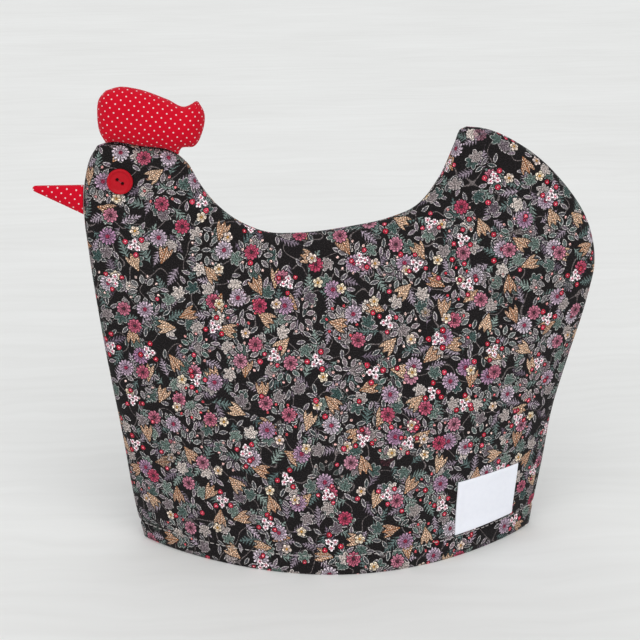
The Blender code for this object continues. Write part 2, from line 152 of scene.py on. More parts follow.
# Eye buttons.
EYE_ACROSS = 0.070
EYE_UP = 0.912
BUTTON_RADIUS = 0.0082
BUTTON_THICK = 0.0026
BUTTON_RIM = 0.0013
BUTTON_DISH = 0.0008
BUTTON_INNER = BUTTON_RADIUS - BUTTON_RIM
BUTTON_PROFILE = (  # radius and height of each corner, from the middle outwards and under
    (0.0, BUTTON_THICK - BUTTON_DISH),
    (BUTTON_INNER - BUTTON_RIM, BUTTON_THICK - BUTTON_DISH),
    (BUTTON_INNER - 0.5 * BUTTON_RIM, BUTTON_THICK - 0.6 * BUTTON_DISH),
    (BUTTON_INNER, BUTTON_THICK),
    (BUTTON_INNER + 0.5 * BUTTON_RIM, BUTTON_THICK),
    (BUTTON_RADIUS - 0.12 * BUTTON_RIM, 0.82 * BUTTON_THICK),
    (BUTTON_RADIUS, 0.6 * BUTTON_THICK),
    (BUTTON_RADIUS - 0.5 * BUTTON_RIM, 0.15 * BUTTON_THICK),
    (BUTTON_INNER, 0.0),
)
BUTTON_HOLE_RADIUS = 0.00105
BUTTON_HOLE_SPACING = 0.0040
BUTTON_HOLE_TURN = np.radians(-38.0)
BUTTON_HOLE_WAY = np.array([np.cos(BUTTON_HOLE_TURN), np.sin(BUTTON_HOLE_TURN), 0.0])
BUTTON_HOLE_FLOOR = 0.0003
BUTTON_GRID = 121
BUTTON_SHARP = 50.0  # degrees
STRAND_HALF = 0.00014
STRAND_ASIDE = 0.00015
STRAND_REACH = 0.36  # half length, as a share of the holes' spacing
SEAT_GAP = 0.0004

# Label.
LABEL_ACROSS = (0.7705, 0.9260)
LABEL_LEAN = 0.0071
LABEL_HEIGHTS = (0.0162, 0.0526)
LABEL_RISE = 0.0025
LABEL_THICK = 0.0010
LABEL_MIDDLE = 0.62  # thickness inside the folded edges, as a share
LABEL_FOLD = 0.0050  # width of the folded edges
LABEL_ROUND = 0.0006  # rounding of their rim
LABEL_RIM = 0.35  # thickness at the rim, as a share
LABEL_WAVE = (0.00012, 9.0, 4.0)  # height, and turns across and up
LABEL_WAVE_START = 0.004
LABEL_SIZE = (0.050, 0.036)
LABEL_GRID = (60, 44)
LABEL_SHARP = 60.0  # degrees
LABEL_SEARCH = 0.3  # height share that the label stays below
HALVINGS = 30

# Print. A layer of motifs has square cells of one size, turned by an angle in radians. Its seed
# sets what chance gives it, roam is how far a motif strays from the middle of its cell, and keep
# is the share of the cells that hold one. A flower's notch is the depth between its petals as a
# share of its radius, sharp is the power that rounds them, and disc is its middle's radius. Other
# lengths are half lengths, from a motif's middle. Colours are as seen, from 0 to 255, and chance
# blends each pair of them.
Layer = namedtuple("Layer", "cell turn seed roam keep")
Flower = namedtuple("Flower", "petals radius notch sharp disc")
SEED_SHIFT = (0.37, 0.73, 0.0)
SECOND_SEED = 31.7
INK_EDGE = 0.00022  # width over which an ink's edge is soft
WIDE_EDGE = 0.0004
SURE_EDGE = 0.01  # so narrow beside chance's 0 to 1 that no motif is half there
GAP = 0.0006  # line of bare ground that is kept round a motif
NARROW_GAP = 0.0005
WREATH_GAP = 0.0007
GROUND = (22, 19, 20)
BEND = (55.0, 0.004)  # scale of the noise that bends stems and sprigs, and how far
VINE = (104, 96, 96)
VINE_SCALE = 62.0
VINE_HALF = 0.009
VINE_EDGE = 0.006
SPRIGS = (  # layer, size (length, width and pitch of the leaflets) and colours
    (Layer(0.0150, 0.35, 3.0, 0.0016, 0.66), (0.0074, 0.0040, 0.0024), ((74, 92, 92), (126, 140, 134))),
    (Layer(0.0145, -0.62, 11.0, 0.0016, 0.58), (0.0064, 0.0034, 0.0021), ((96, 84, 98), (166, 152, 164))),
)
SPRIG_SLANT = 0.75
SPRIG_STEM = 0.00022
LEAFLET = 0.45  # half width at the stem, as a share of the pitch
LEAST_REACH = 0.0001
MARGIN = (226, 220, 218)
MARGIN_WIDTH = 0.00034
MARGIN_SHARE = 0.66
VEIN_PITCH = 0.0011
VEIN_HALF = 0.00013
VEIN_EDGE = 0.0002
VEIN_SHARE = 0.72
SMALL_LEAVES = Layer(0.0062, 0.50, 37.0, 0.0013, 0.46)
SMALL_LEAF = (0.0033, 0.0013)
SMALL_LEAF_INKS = ((56, 70, 70), (140, 124, 136))
SMALL_VEIN_PITCH = 0.0009
FANS = (  # layer and colours
    (Layer(0.0175, 0.90, 23.0, 0.0034, 0.60), ((50, 74, 72), (112, 128, 120))),
    (Layer(0.0185, -0.25, 29.0, 0.0034, 0.62), ((98, 86, 96), (206, 194, 186))),
)
FAN_LOBES = 7
FAN_RADIUS = 0.0066
FAN_LEAN = 0.36  # how much further it reaches ahead than aside
FAN_DIP = 0.42  # depth of the dips between its lobes
WREATHS = Layer(0.0330, 0.15, 83.0, 0.0045, 0.60)
WREATH_LEAVES = 8
WREATH_RING = 0.0074
WREATH_LEAF = (0.0031, 0.0016)
WREATH_INKS = ((146, 126, 134), (86, 110, 104))
WREATH_BERRY_RING = 0.0098
WREATH_BERRY = (0.0010, 0.0008)
WREATH_BERRY_INKS = ((206, 40, 62), (222, 196, 188))
SEED_HEADS = Layer(0.0215, -0.40, 41.0, 0.0046, 0.60)
SEED_LOBE = (0.0062, 0.0022)
SEED_SIDE_LOBE = (0.0045, 0.0012)
SEED_SIDE_AHEAD = 0.0012
SEED_SPLAY = 0.30
SEED_APART = 0.0023
SEED_INKS = ((158, 106, 72), (192, 156, 126))
SEED_STRIPES = (0.0011, 0.60, 0.65, (232, 216, 198))  # pitch, start, strength and colour
SEED_BARS = (0.0019, 0.70, 0.8, (84, 56, 42))
PETAL_SHADE = 0.85  # how far the inner colour reaches out between petals
FLOWERS = (  # layer, form, colour of the middle, inner colours, outer colours and gap
    (
        Layer(0.0225, 0.72, 47.0, 0.0052, 0.44), Flower(13, 0.0056, 0.40, 0.6, 0.0014), (132, 40, 66),
        ((74, 44, 70), (80, 70, 82)), ((178, 136, 168), (220, 210, 218)), GAP,
    ),
    (
        Layer(0.0215, -0.85, 53.0, 0.0054, 0.38), Flower(10, 0.0047, 0.30, 0.6, 0.0012), (64, 38, 46),
        ((104, 20, 44), (88, 40, 58)), ((190, 74, 102), (206, 150, 168)), GAP,
    ),
    (
        Layer(0.0185, 0.20, 59.0, 0.0054, 0.32), Flower(5, 0.0032, 0.50, 0.5, 0.0009), (172, 128, 62),
        ((148, 120, 88), (134, 108, 98)), ((242, 230, 206), (230, 214, 208)), NARROW_GAP,
    ),
)
POSIES = Layer(0.0350, 0.33, 67.0, 0.0066, 0.80)
POSY_COUNT = 3
POSY_RING = 0.0027
POSY_BERRY_RING = 0.0062
POSY_BERRY_TURN = 0.75
BLOSSOM = Flower(5, 0.0022, 0.50, 0.5, 0.0006)
BLOSSOM_INKS = ((190, 76, 100), (196, 158, 168), (248, 240, 242))  # middle, inner and outer
BERRIES = Layer(0.0083, 0.33, 71.0, 0.0024, 0.07)
BERRY_SIZE = (0.0005, 0.0012)  # what chance adds to the radius, and the least radius
BERRY_SPOT = 0.0005
BERRY_INKS = ((170, 28, 48), (198, 66, 88))
BERRY_LIGHT = (242, 180, 190)
GRAIN_SCALE = 1350.0
GRAIN_LINE = (7.6, -2.88)  # brightness is the noise times the first plus the second
GRAIN_ENDS = (0.36, 2.35)

# Finishes. The words in quotes are the shader's own, and a pair of colours is blended by a noise.
PRINT_FINISH = {
    "Roughness": 0.86, "Specular IOR Level": 0.15, "Sheen Weight": 0.02, "Sheen Roughness": 0.5,
}
PRINT_FADE = (2600.0, 0.03, (120, 112, 114))  # scale of the noise, strength and colour
PRINT_WEAVE = (0.00042, 0.5)  # pitch and strength
PLAIN_INKS = ((44, 40, 42), (66, 60, 62))
PLAIN_CLOUD = 1400.0
PLAIN_FINISH = {"Roughness": 0.9}
PLAIN_WEAVE = (0.00050, 0.6)
WEAVE_UNEVEN = 900.0
WEAVE_HEIGHT = 0.00008
RED_INKS = ((195, 0, 25), (213, 0, 41))
RED_CLOUD = 2200.0
RED_FINISH = {
    "Roughness": 0.8, "Specular IOR Level": 0.15,
    "Sheen Weight": 0.15, "Sheen Roughness": 0.40, "Sheen Tint": (255, 170, 186),
}
RED_WEAVE = (0.00042, 0.5)
DOT_TILT = np.radians(7.0)
DOT_ROWS = 0.0028
DOT_PITCH = 0.0059
DOT_SHIFT = 0.46  # of each row from the last, in pitches
DOT_RADIUS = 0.00046
DOT_EDGE = 0.00030
DOT_COVER = 0.92
DOT_WHITE = (244, 226, 228)
BUTTON_INKS = ((170, 0, 20), (186, 2, 28))
BUTTON_SHINE = 0.20
# Near-black plastic of the holes' floors: painted shade in the button holes.
HOLE_SHADE_INKS = ((34, 6, 9), (52, 10, 14))
HOLE_SHINE = 0.1
PLASTIC_CLOUD = 420.0
PLASTIC_SCUFFS = (1500.0, 0.16, 0.34)  # scale, change of roughness and least roughness
HEM_THREAD_INKS = ((152, 146, 146), (214, 208, 204))
BUTTON_THREAD_INKS = ((120, 26, 36), (168, 60, 68))
THREAD_CLOUD = 1800.0
THREAD_FINISH = {"Roughness": 0.7}
THREAD_FIBRES = (5200.0, 0.5, 0.00006)  # scale, strength and height
LABEL_INKS = ((236, 238, 247), (243, 245, 252))
LABEL_CLOUD = 300.0
LABEL_FINISH = {"Roughness": 0.75, "Specular IOR Level": 0.3}
LABEL_WEAVE = (0.00045, 0.45)

# Floor, light and camera.
FLOOR_HALF = 15.0
FLOOR_INKS = ((222, 222, 220), (246, 247, 246))
FLOOR_FINISH = {"Roughness": 0.7, "Specular IOR Level": 0.25}
FLOOR_BEND = (9.0, 2.0, 0.05)  # scale and detail of the noise that bends the streaks, how far
FLOOR_STREAKS = ((7.0, 75.0, 1.0), 1.0, 5.0)  # stretch, scale and detail
FLOOR_CLOUDS = ((1.0, 2.0, 1.0), 3.0, 3.0)
WORLD_LIGHT = 0.51
WORLD_COLOUR = (0.97, 0.985, 1.0, 1.0)
SUN_COLOUR = (1.0, 0.995, 0.985)
SUNS = (  # name, way to it, spread in degrees and strength
    ("front_window", (0.0, -0.743, 0.669), 75.0, 1.70),
    ("roof_window", (0.0, 0.500, 0.866), 60.0, 0.40),
)
CAMERA_PLACE = (-0.0820, -1.0368, 0.5095)
CAMERA_TURN = (71.0, 0.0, -4.55)  # degrees
CAMERA_LENS = 94.44
CAMERA_SENSOR = 36.0

CURVE_STEPS = 600
SEAM_POINTS = 90
NORMAL_STEP = 0.01


def smooth_curve(points, share):
    """Points at shares of the length of a curve through the rows.

    Between two rows it is a cubic arc, which leaves each row along the mean slope there.
    """
    points = np.array(points)
    steps = np.linalg.norm(np.diff(points, axis=0), axis=1)
    knots = np.concatenate([[0.0], np.cumsum(steps)])
    slopes = np.gradient(points, knots, axis=0)
    fine = np.linspace(0.0, knots[-1], CURVE_STEPS)
    row = np.clip(np.searchsorted(knots, fine, side="right") - 1, 0, len(steps) - 1)
    length = steps[row][:, None]
    u = (fine - knots[row])[:, None] / length
    curve = (
        (2 * u**3 - 3 * u**2 + 1) * points[row]
        + (u**3 - 2 * u**2 + u) * length * slopes[row]
        + (3 * u**2 - 2 * u**3) * points[row + 1]
        + (u**3 - u**2) * length * slopes[row + 1]
    )
    run = np.concatenate([[0.0], np.cumsum(np.linalg.norm(np.diff(curve, axis=0), axis=1))])
    at = np.asarray(share) * run[-1]
    return np.stack([np.interp(at, run, curve[:, 0]), np.interp(at, run, curve[:, 1])], axis=-1)


def curve_length(points):
    """Length of the smooth curve through the rows."""
    dense = smooth_curve(points, np.linspace(0.0, 1.0, CURVE_STEPS))
    return np.linalg.norm(np.diff(dense, axis=0), axis=1).sum()


def soft_step(value):
    """Smooth rise from 0 to 1: three squares less two cubes."""
    value = np.clip(value, 0.0, 1.0)
    return value * value * (3.0 - 2.0 * value)


def four_sided(low, high, left, right, s, t, rise):
    """Flat patch blended from its four sides, s across and t up: a Coons patch.

    It is the blend of left and right plus the blend of low and high, less that of the corners.
    """
    s_column = s[:, None]
    rise = rise[:, None]
    ends = np.array([0.0, 1.0])
    low_ends, high_ends = low(ends), high(ends)
    corners = (1 - rise) * ((1 - s_column) * low_ends[0] + s_column * low_ends[1])
    corners += rise * ((1 - s_column) * high_ends[0] + s_column * high_ends[1])
    sides = (1 - s_column) * left(t) + s_column * right(t)
    return sides + (1 - rise) * low(s) + rise * high(s) - corners


def outward(points, share):
    """Unit normals of a smooth curve, on the left of its direction of travel."""
    step = smooth_curve(points, np.clip(share + NORMAL_STEP, 0, 1))
    step = step - smooth_curve(points, np.clip(share - NORMAL_STEP, 0, 1))
    step /= np.linalg.norm(step, axis=1)[:, None]
    return np.stack([-step[:, 1], step[:, 0]], axis=-1)


def nearest_on(line, points):
    """Distance from each point to a line, the way out to it, and how far along it that lies."""
    stretch = np.diff(line, axis=0)
    real = (stretch**2).sum(axis=1) > 0.0
    start, stretch = line[:-1][real], stretch[real]
    lengths = np.linalg.norm(stretch, axis=1)
    run = np.concatenate([[0.0], np.cumsum(lengths)])
    best = np.full(len(points), np.inf)
    index = np.zeros(len(points), int)
    share = np.zeros(len(points))
    for number in range(len(start)):
        away = points - start[number]
        part = np.clip((away @ stretch[number]) / lengths[number] ** 2, 0.0, 1.0)
        apart = np.linalg.norm(away - part[:, None] * stretch[number], axis=1)
        closer = apart < best
        best[closer], index[closer], share[closer] = apart[closer], number, part[closer]
    way = np.stack([-stretch[:, 1], stretch[:, 0]], axis=-1) / lengths[:, None]
    return best, way[index], run[index] + share * lengths[index]


def half_circle(place):
    """Half circle: 0 at -1 and 1, and 1 halfway between them."""
    return np.sqrt(np.maximum(1.0 - place**2, 0.0))


def round_rise(distance, radius):
    """Quarter circle: 0 at the edge, 1 at one radius from it and beyond."""
    return half_circle(1.0 - np.clip(distance / radius, 0.0, 1.0))


def turned_over(distance, radius, share):
    """How much longer the cloth is than its place in the seam plane, over a rounded edge.

    What is left to the seam, in radii, is the sine of an angle. The length is a share of the
    radius times the angle less its sine.
    """
    turned = 1.0 - np.clip(distance / radius, 0.0, 1.0)
    return share * radius * (np.arcsin(turned) - turned)


def side_share(points, t):
    """Share of a side seam's length at height share t, with the hem zone at its real height."""
    length = curve_length(points)
    above = HEM_ZONE + (t - HEM_SHARE) / (1.0 - HEM_SHARE) * (length - HEM_ZONE)
    return np.where(t < HEM_SHARE, hem_height(t), above) / length


def hem_height(t):
    """Height of a row in the hem, before the hem widens towards the tail."""
    return t / HEM_SHARE * HEM_ZONE


def stitch_dip(t):
    """Share of the stitch groove's depth at each row, a bell curve round the stitches."""
    return np.exp(-(((hem_height(t) - STITCH_HEIGHT) / STITCH_WIDTH) ** 2))


def panel_outline():
    """The whole side and top seam as one line of points."""
    share = np.linspace(0.0, 1.0, SEAM_POINTS)
    stretches = [smooth_curve(rows, share) for rows in (BREAST, TOP)]
    stretches.append(smooth_curve(RUMP, share)[::-1])
    return np.concatenate(stretches)


def hem_line(s):
    """Straight line on the floor between the two ends of the side seams."""
    return np.stack([BREAST[0][0] + (RUMP[0][0] - BREAST[0][0]) * s, 0.0 * s], axis=-1)


def panel_flat(s, t):
    """Place of each panel point in the seam plane, as (x, z).

    A patch blended from hem, top and side seams, whose hem widens towards the tail and is drawn
    in at the stitches.
    """
    inward = STITCH_GROOVE * stitch_dip(t) * (1.0 - 2.0 * s)
    t = t * (1.0 + HEM_GAIN * s**3 * (1.0 - t) ** 2)
    rise = soft_step((t - HEM_SHARE) / (1.0 - HEM_SHARE))
    flat = four_sided(
        hem_line,
        lambda share: smooth_curve(TOP, share),
        lambda share: smooth_curve(BREAST, side_share(BREAST, share)),
        lambda share: smooth_curve(RUMP, side_share(RUMP, share)),
        s, t, rise,
    )
    flat[:, 0] += inward
    return flat


def gathers(distance, along, side):
    """Height of the fine gathers that a seam pulls into the cloth beside it.

    Three sine waves of unlike pitch run along the seam. Away from it they fade in along a
    straight line and out along a bell curve, and a slow wave makes them stronger and weaker.
    """
    turn = 2.0 * np.pi * along / PUCKER_PITCH
    turns, height = PUCKER_SECOND
    wave = np.sin(turn + side) + height * np.sin(turns * turn + 2.0 * side + 1.0)
    turns, height = PUCKER_THIRD
    wave += height * np.sin(turns * turn + np.sin(PUCKER_WANDER * turn))
    fade = np.clip(distance / PUCKER_START, 0.0, 1.0) * np.exp(-((distance / PUCKER_REACH) ** 2))
    mean, change, turns = PUCKER_SWELL
    return PUCKER * wave * fade * (mean + change * np.sin(turns * turn + side))


def stitch_gathers(s, t, side):
    """Height of the gathers above and below the hem's line of stitching.

    Two sine waves run along the hem, and fade out above and below the stitches as a bell curve.
    """
    turn = 2.0 * np.pi * s * HEM_RUN / STITCH_PITCH
    turns, height = STITCH_PUCKER_SECOND
    wave = np.sin(turn) + height * np.sin(turns * turn + side)
    away = (hem_height(t) - STITCH_HEIGHT) / STITCH_PUCKER_REACH
    return STITCH_PUCKER * wave * np.exp(-(away**2))


def panel_depth(flat, s, t, side, fine):
    """Depth of the panel's outer and inner skins from the seam plane.

    The padded edge rises from the seam as a quarter circle. The opening is a power of a sine
    across the panel, widest at the hem and closed at the top. The two are joined as the root of
    a sum of powers. On the outer skin come the hem's bulge, the stitch groove, the hem's
    rounded foot, slow waves and, where fine, the gathers.
    """
    height = hem_height(t)
    distance, _, along = nearest_on(panel_outline(), flat)
    padding = EDGE_LIP + (EDGE_RADIUS - EDGE_LIP) * round_rise(distance, EDGE_RADIUS)
    padding *= EDGE_AT_HEM + (1.0 - EDGE_AT_HEM) * soft_step(flat[:, 1] / EDGE_REACH)
    opening = HEM_DEPTH * np.sin(np.pi * np.clip(s, 0.0, 1.0)) ** HEM_FULLNESS
    opening = opening * (1.0 - np.clip(t, 0.0, 1.0) ** RISE_FULLNESS)
    smooth = (padding**EDGE_BLEND + opening**EDGE_BLEND) ** (1.0 / EDGE_BLEND)
    inner = np.maximum(smooth - WALL, 0.0)
    relief = HEM_BULGE * np.sin(np.pi * np.clip(height / STITCH_HEIGHT, 0.0, 1.0))
    relief -= STITCH_GROOVE * stitch_dip(t)
    relief -= HEM_ROUND * (1.0 - np.clip(height / HEM_ROUND_HEIGHT, 0.0, 1.0)) ** 2
    waves = np.sin(WAVE_ACROSS * s + WAVE_SIDES[0] * side) * np.sin(WAVE_UP * t)
    waves += np.sin(WAVE_ASLANT * s * t + WAVE_SIDES[1] * side) * t
    relief += WAVE * waves * np.sin(np.pi * t)
    if fine:
        relief += gathers(distance, along, side) + stitch_gathers(s, t, side)
    outer = smooth + relief * np.clip(smooth / EDGE_RADIUS, 0.0, 1.0)
    return np.maximum(outer, EDGE_LIP * EDGE_AT_HEM), inner


def panel_point(side, s, t, outer=True, fine=False):
    """Points of one panel's outer or inner skin; side is -1 for the front and +1 for the back."""
    flat = panel_flat(s, t)
    outer_depth, inner_depth = panel_depth(flat, s, t, side, fine)
    depth = outer_depth if outer else inner_depth
    return np.stack([flat[:, 0], side * depth, flat[:, 1]], axis=-1)


def panel_normal(side, s, t):
    """Outward unit normals of one panel's outer skin: the cross product of two short steps."""
    reach = NORMAL_STEP
    across = panel_point(side, s + reach, t) - panel_point(side, s - reach, t)
    upward = panel_point(side, s, t + reach) - panel_point(side, s, t - reach)
    normal = np.cross(across, upward)
    normal *= np.sign(normal[:, 1:2]) * side
    return normal / np.linalg.norm(normal, axis=1)[:, None]


def cloth_place(side, s, t):
    """Place of each panel point on the flat cloth before it was sewn, in metres.

    Height and length are taken from the seam plane, and lengthened where the panel bends away
    from it: over the bulge of the hem and over the rounded edge beside the seam.
    """
    flat = panel_flat(s, t)
    ends = np.linspace(0.0, 1.0, CURVE_STEPS)
    hem = HEM_DEPTH * np.sin(np.pi * ends) ** HEM_FULLNESS
    width = RUMP[0][0] - BREAST[0][0]
    step = width / (CURVE_STEPS - 1)
    longer = np.concatenate([[0.0], np.cumsum(np.hypot(step, np.diff(hem)) - step)])
    longer -= longer[CURVE_STEPS // 2]
    spread = np.interp(s, ends, longer) * (1.0 - np.clip(t, 0.0, 1.0) ** RISE_FULLNESS) ** 2
    distance, way, _ = nearest_on(panel_outline(), flat)
    over = turned_over(distance, EDGE_RADIUS, np.clip(flat[:, 1] / EDGE_REACH, EDGE_TURN_AT_HEM, 1.0))
    cloth = flat + way * over[:, None]
    cloth[:, 0] += spread
    cloth[:, 0] *= -side
    return cloth


def crowded(cells):
    """Grid lines from 0 to 1: a blend of even ones and of ones that a cosine crowds at the ends."""
    even = np.linspace(0.0, 1.0, cells + 1)
    return (1.0 - CROWDING) * even + CROWDING * 0.5 * (1.0 - np.cos(np.pi * even))


def edge_lines(edge, width):
    """Shares of a width for the grid lines of a padded edge: even steps of a quarter circle."""
    return (1.0 - np.cos(np.linspace(0.0, np.pi / 2, EDGE_LINES))) * edge / width


def grid_lines(count, edge, width):
    """Shares from 0 to 1, evenly spaced but closer within the padded edges."""
    near = edge_lines(edge, width)
    between = np.linspace(near[-1], 1.0 - near[-1], count)[1:-1]
    return np.concatenate([near, between, 1.0 - near[::-1]])


def grid_faces(rows, columns, first, flip):
    """Four-sided faces of a grid of points, numbered from first."""
    corner = (np.arange(rows - 1)[:, None] * columns + np.arange(columns - 1)).ravel() + first
    faces = np.stack([corner, corner + 1, corner + columns + 1, corner + columns], axis=-1)
    return faces[:, ::-1] if flip else faces


def rim_loop(rows, columns):
    """Numbers of a grid's outermost points, once round."""
    grid = np.arange(rows * columns).reshape(rows, columns)
    return np.concatenate([grid[0], grid[1:, -1], grid[-1, -2::-1], grid[-2:0:-1, 0]])


def skin_faces(rows, columns, flip):
    """Faces of two skins on the same grid, the second after the first, and of the rim between."""
    size = rows * columns
    loop = rim_loop(rows, columns)
    after = np.roll(loop, -1)
    rim = np.stack([loop, loop + size, after + size, after], axis=-1)
    skins = grid_faces(rows, columns, 0, flip), grid_faces(rows, columns, size, not flip)
    return np.concatenate([*skins, rim[:, ::-1] if flip else rim]).tolist()


def placed(name, data):
    """New object in the scene that holds a mesh, a light or a camera."""
    item = bpy.data.objects.new(name, data)
    bpy.context.scene.collection.objects.link(item)
    return item


def mesh_piece(name, points, faces, materials, maps=None, smooth_angle=None, which=None):
    """Mesh object from an array of points and a list of faces.

    maps holds each point's place on the flat cloth, which becomes the piece's UV map, and which
    the number of each face's material.
    """
    mesh = bpy.data.meshes.new(name)
    mesh.from_pydata(points.tolist(), [], faces)
    for material in materials:
        mesh.materials.append(material)
    if maps is not None:
        layer = mesh.uv_layers.new(name="cloth")
        index = np.zeros(len(mesh.loops), int)
        mesh.loops.foreach_get("vertex_index", index)
        layer.data.foreach_set("uv", maps[index].astype(np.float32).ravel())
    if which is not None:
        mesh.polygons.foreach_set("material_index", which)
    mesh.shade_smooth()
    if smooth_angle is not None:
        mesh.set_sharp_from_angle(angle=np.radians(smooth_angle))
    return placed(name, mesh)


# Shaders.


def colour(red, green, blue):
    """Colour of a cloth or thread as seen, from 0 to 255, turned into light."""
    seen = np.array([red, green, blue]) / 255.0
    light = np.where(seen <= 0.04045, seen / 12.92, ((seen + 0.055) / 1.055) ** 2.4)
    return (*light.tolist(), 1.0)


class Net:
    """Adds nodes to one node tree. Each method gives back the new node's output socket."""

    def __init__(self, tree):
        self.tree = tree

    def put(self, kind, inputs=(), **settings):
        """One node, its settings made and its inputs joined or set by number or name."""
        node = self.tree.nodes.new(kind)
        for name, value in settings.items():
            setattr(node, name, value)
        for key, value in dict(inputs).items():
            self.join(value, node.inputs[key])
        return node

    def join(self, value, socket):
        """Joins a socket to an input, or sets the input's own value, a colour as it is seen."""
        if isinstance(value, bpy.types.NodeSocket):
            self.tree.links.new(value, socket)
        elif socket.type == "RGBA":
            socket.default_value = colour(*value)
        else:
            socket.default_value = value

    def math(self, operation, *values, clamp=False):
        """One sum of one to three values."""
        node = self.put("ShaderNodeMath", dict(enumerate(values)), operation=operation)
        node.use_clamp = clamp
        return node.outputs[0]

    def plus(self, first, second):
        """Sum of two numbers."""
        return self.math("ADD", first, second)

    def less(self, first, second):
        """First number less the second."""
        return self.math("SUBTRACT", first, second)

    def times(self, first, second):
        """Product of two numbers."""
        return self.math("MULTIPLY", first, second)

    def over(self, first, second):
        """First number divided by the second."""
        return self.math("DIVIDE", first, second)

    def line(self, value, slope, start):
        """Number times a slope, plus a start."""
        return self.math("MULTIPLY_ADD", value, slope, start)

    def size(self, number):
        """Number without its sign."""
        return self.math("ABSOLUTE", number)

    def middled(self, number):
        """What a number has beyond its whole part, less a half."""
        return self.less(self.math("FRACT", number), 0.5)

    def reach(self, x, y):
        """Distance of a place from the middle."""
        return self.math("SQRT", self.plus(self.times(x, x), self.times(y, y)))

    def vector(self, operation, *values):
        """One sum of vectors."""
        return self.put("ShaderNodeVectorMath", dict(enumerate(values)), operation=operation).outputs[0]

    def scaled(self, vector, size):
        """A vector or colour times a number."""
        inputs = {0: vector, "Scale": size}
        return self.put("ShaderNodeVectorMath", inputs, operation="SCALE").outputs[0]

    def turned(self, place, angle):
        """Place turned about Z."""
        inputs = {"Vector": place, "Angle": angle}
        return self.put("ShaderNodeVectorRotate", inputs, rotation_type="Z_AXIS").outputs[0]

    def parts(self, vector):
        """The three numbers of a vector."""
        return self.put("ShaderNodeSeparateXYZ", {0: vector}).outputs

    def joined(self, x, y):
        """A vector of two numbers and zero."""
        return self.put("ShaderNodeCombineXYZ", {0: x, 1: y}).outputs[0]

    def mix(self, share, low, high):
        """Blend of two colours."""
        node = self.put("ShaderNodeMix", data_type="RGBA")
        for value, number in ((share, 0), (low, 6), (high, 7)):
            self.join(value, node.inputs[number])
        return node.outputs[2]

    def edge(self, depth, soft=INK_EDGE):
        """1 where depth is above 0, with an edge as soft as an ink's."""
        return self.math("MULTIPLY_ADD", depth, 1.0 / soft, 0.5, clamp=True)

    def noise(self, place, scale, detail=2.0, output=0):
        """Cloudy noise."""
        node = self.put("ShaderNodeTexNoise", {"Vector": place, "Scale": scale, "Detail": detail})
        return node.outputs[output]

    def chance(self, place):
        """Three even random numbers for each place."""
        node = self.put("ShaderNodeTexWhiteNoise", {"Vector": place}, noise_dimensions="3D")
        return self.put("ShaderNodeSeparateColor", {0: node.outputs["Color"]}).outputs

    def object_place(self):
        """Place in metres, from the piece's own coordinates."""
        return self.put("ShaderNodeTexCoord").outputs["Object"]

    def cloth_place(self):
        """Place on the flat cloth in metres, from the piece's own map."""
        return self.put("ShaderNodeUVMap", uv_map="cloth").outputs[0]


def scatter(net, place, layer):
    """One layer of a scattered print.

    The cloth is cut into square cells turned by an angle, and each holds one motif, moved and
    turned by chance. Gives the motif's own x and y, its distance from the middle, its angle,
    two random numbers, and a number below zero where this cell stays empty.
    """
    shift = tuple(layer.seed * share for share in SEED_SHIFT)
    cloth = net.vector("ADD", net.scaled(net.turned(place, layer.turn), 1.0 / layer.cell), shift)
    cells = net.vector("FLOOR", cloth)
    first = net.chance(net.vector("ADD", cells, (0.0, 0.0, layer.seed)))
    second = net.chance(net.vector("ADD", cells, (0.0, 0.0, layer.seed + SECOND_SEED)))
    x, y, _ = net.parts(net.vector("FRACTION", cloth))
    own = []
    for part, stray in ((x, first[0]), (y, first[1])):
        middle = net.times(net.less(part, 0.5), layer.cell)
        own.append(net.less(middle, net.times(net.less(stray, 0.5), 2 * layer.roam)))
    x, y, _ = net.parts(net.turned(net.joined(*own), net.times(first[2], 2 * np.pi)))
    away, angle = round_place(net, x, y)
    return x, y, away, angle, second[0], second[1], net.less(layer.keep, second[2])


def round_place(net, x, y):
    """Distance and angle of a place from the middle."""
    return net.reach(x, y), net.math("ARCTAN2", y, x)


def ring_of(net, away, angle, count, ring):
    """Own x and y of each of a ring of motifs, with x pointing outwards."""
    part = net.middled(net.times(angle, count / (2 * np.pi)))
    return net.less(away, ring), net.times(net.times(part, 2 * np.pi / count), away)


def printed_on(net, below, shape, ink, there, gap=GAP):
    """Paints a motif over what lies below it, with a thin line of the ground around it."""
    here = net.edge(there, SURE_EDGE)
    around = net.times(net.edge(net.plus(shape, gap)), here)
    inside = net.times(net.edge(shape), here)
    return net.mix(inside, net.mix(around, below, GROUND), ink)


def lobes(net, angle, count):
    """Size of the cosine of an angle, stretched so that it peaks that many times in a turn."""
    return net.size(net.math("COSINE", net.times(angle, count / 2)))


def petals(net, away, angle, form):
    """Depth inside a flower with round petals, below zero outside it, and the petals' share.

    The share is a power of the lobes, and the outline is a round one plus a notch times it.
    """
    lobe = net.math("POWER", lobes(net, angle, form.petals), form.sharp)
    edge = net.line(lobe, form.radius * form.notch, form.radius * (1 - form.notch))
    return net.less(edge, away), lobe


def swelling(net, x, length):
    """One less the square of a place's share of a length."""
    share = net.over(x, length)
    return net.less(1.0, net.times(share, share))


def leaf(net, x, y, length, width):
    """Depth inside a pointed leaf along x, whose half width swells towards its middle."""
    return net.less(net.times(swelling(net, x, length), width), net.size(y))


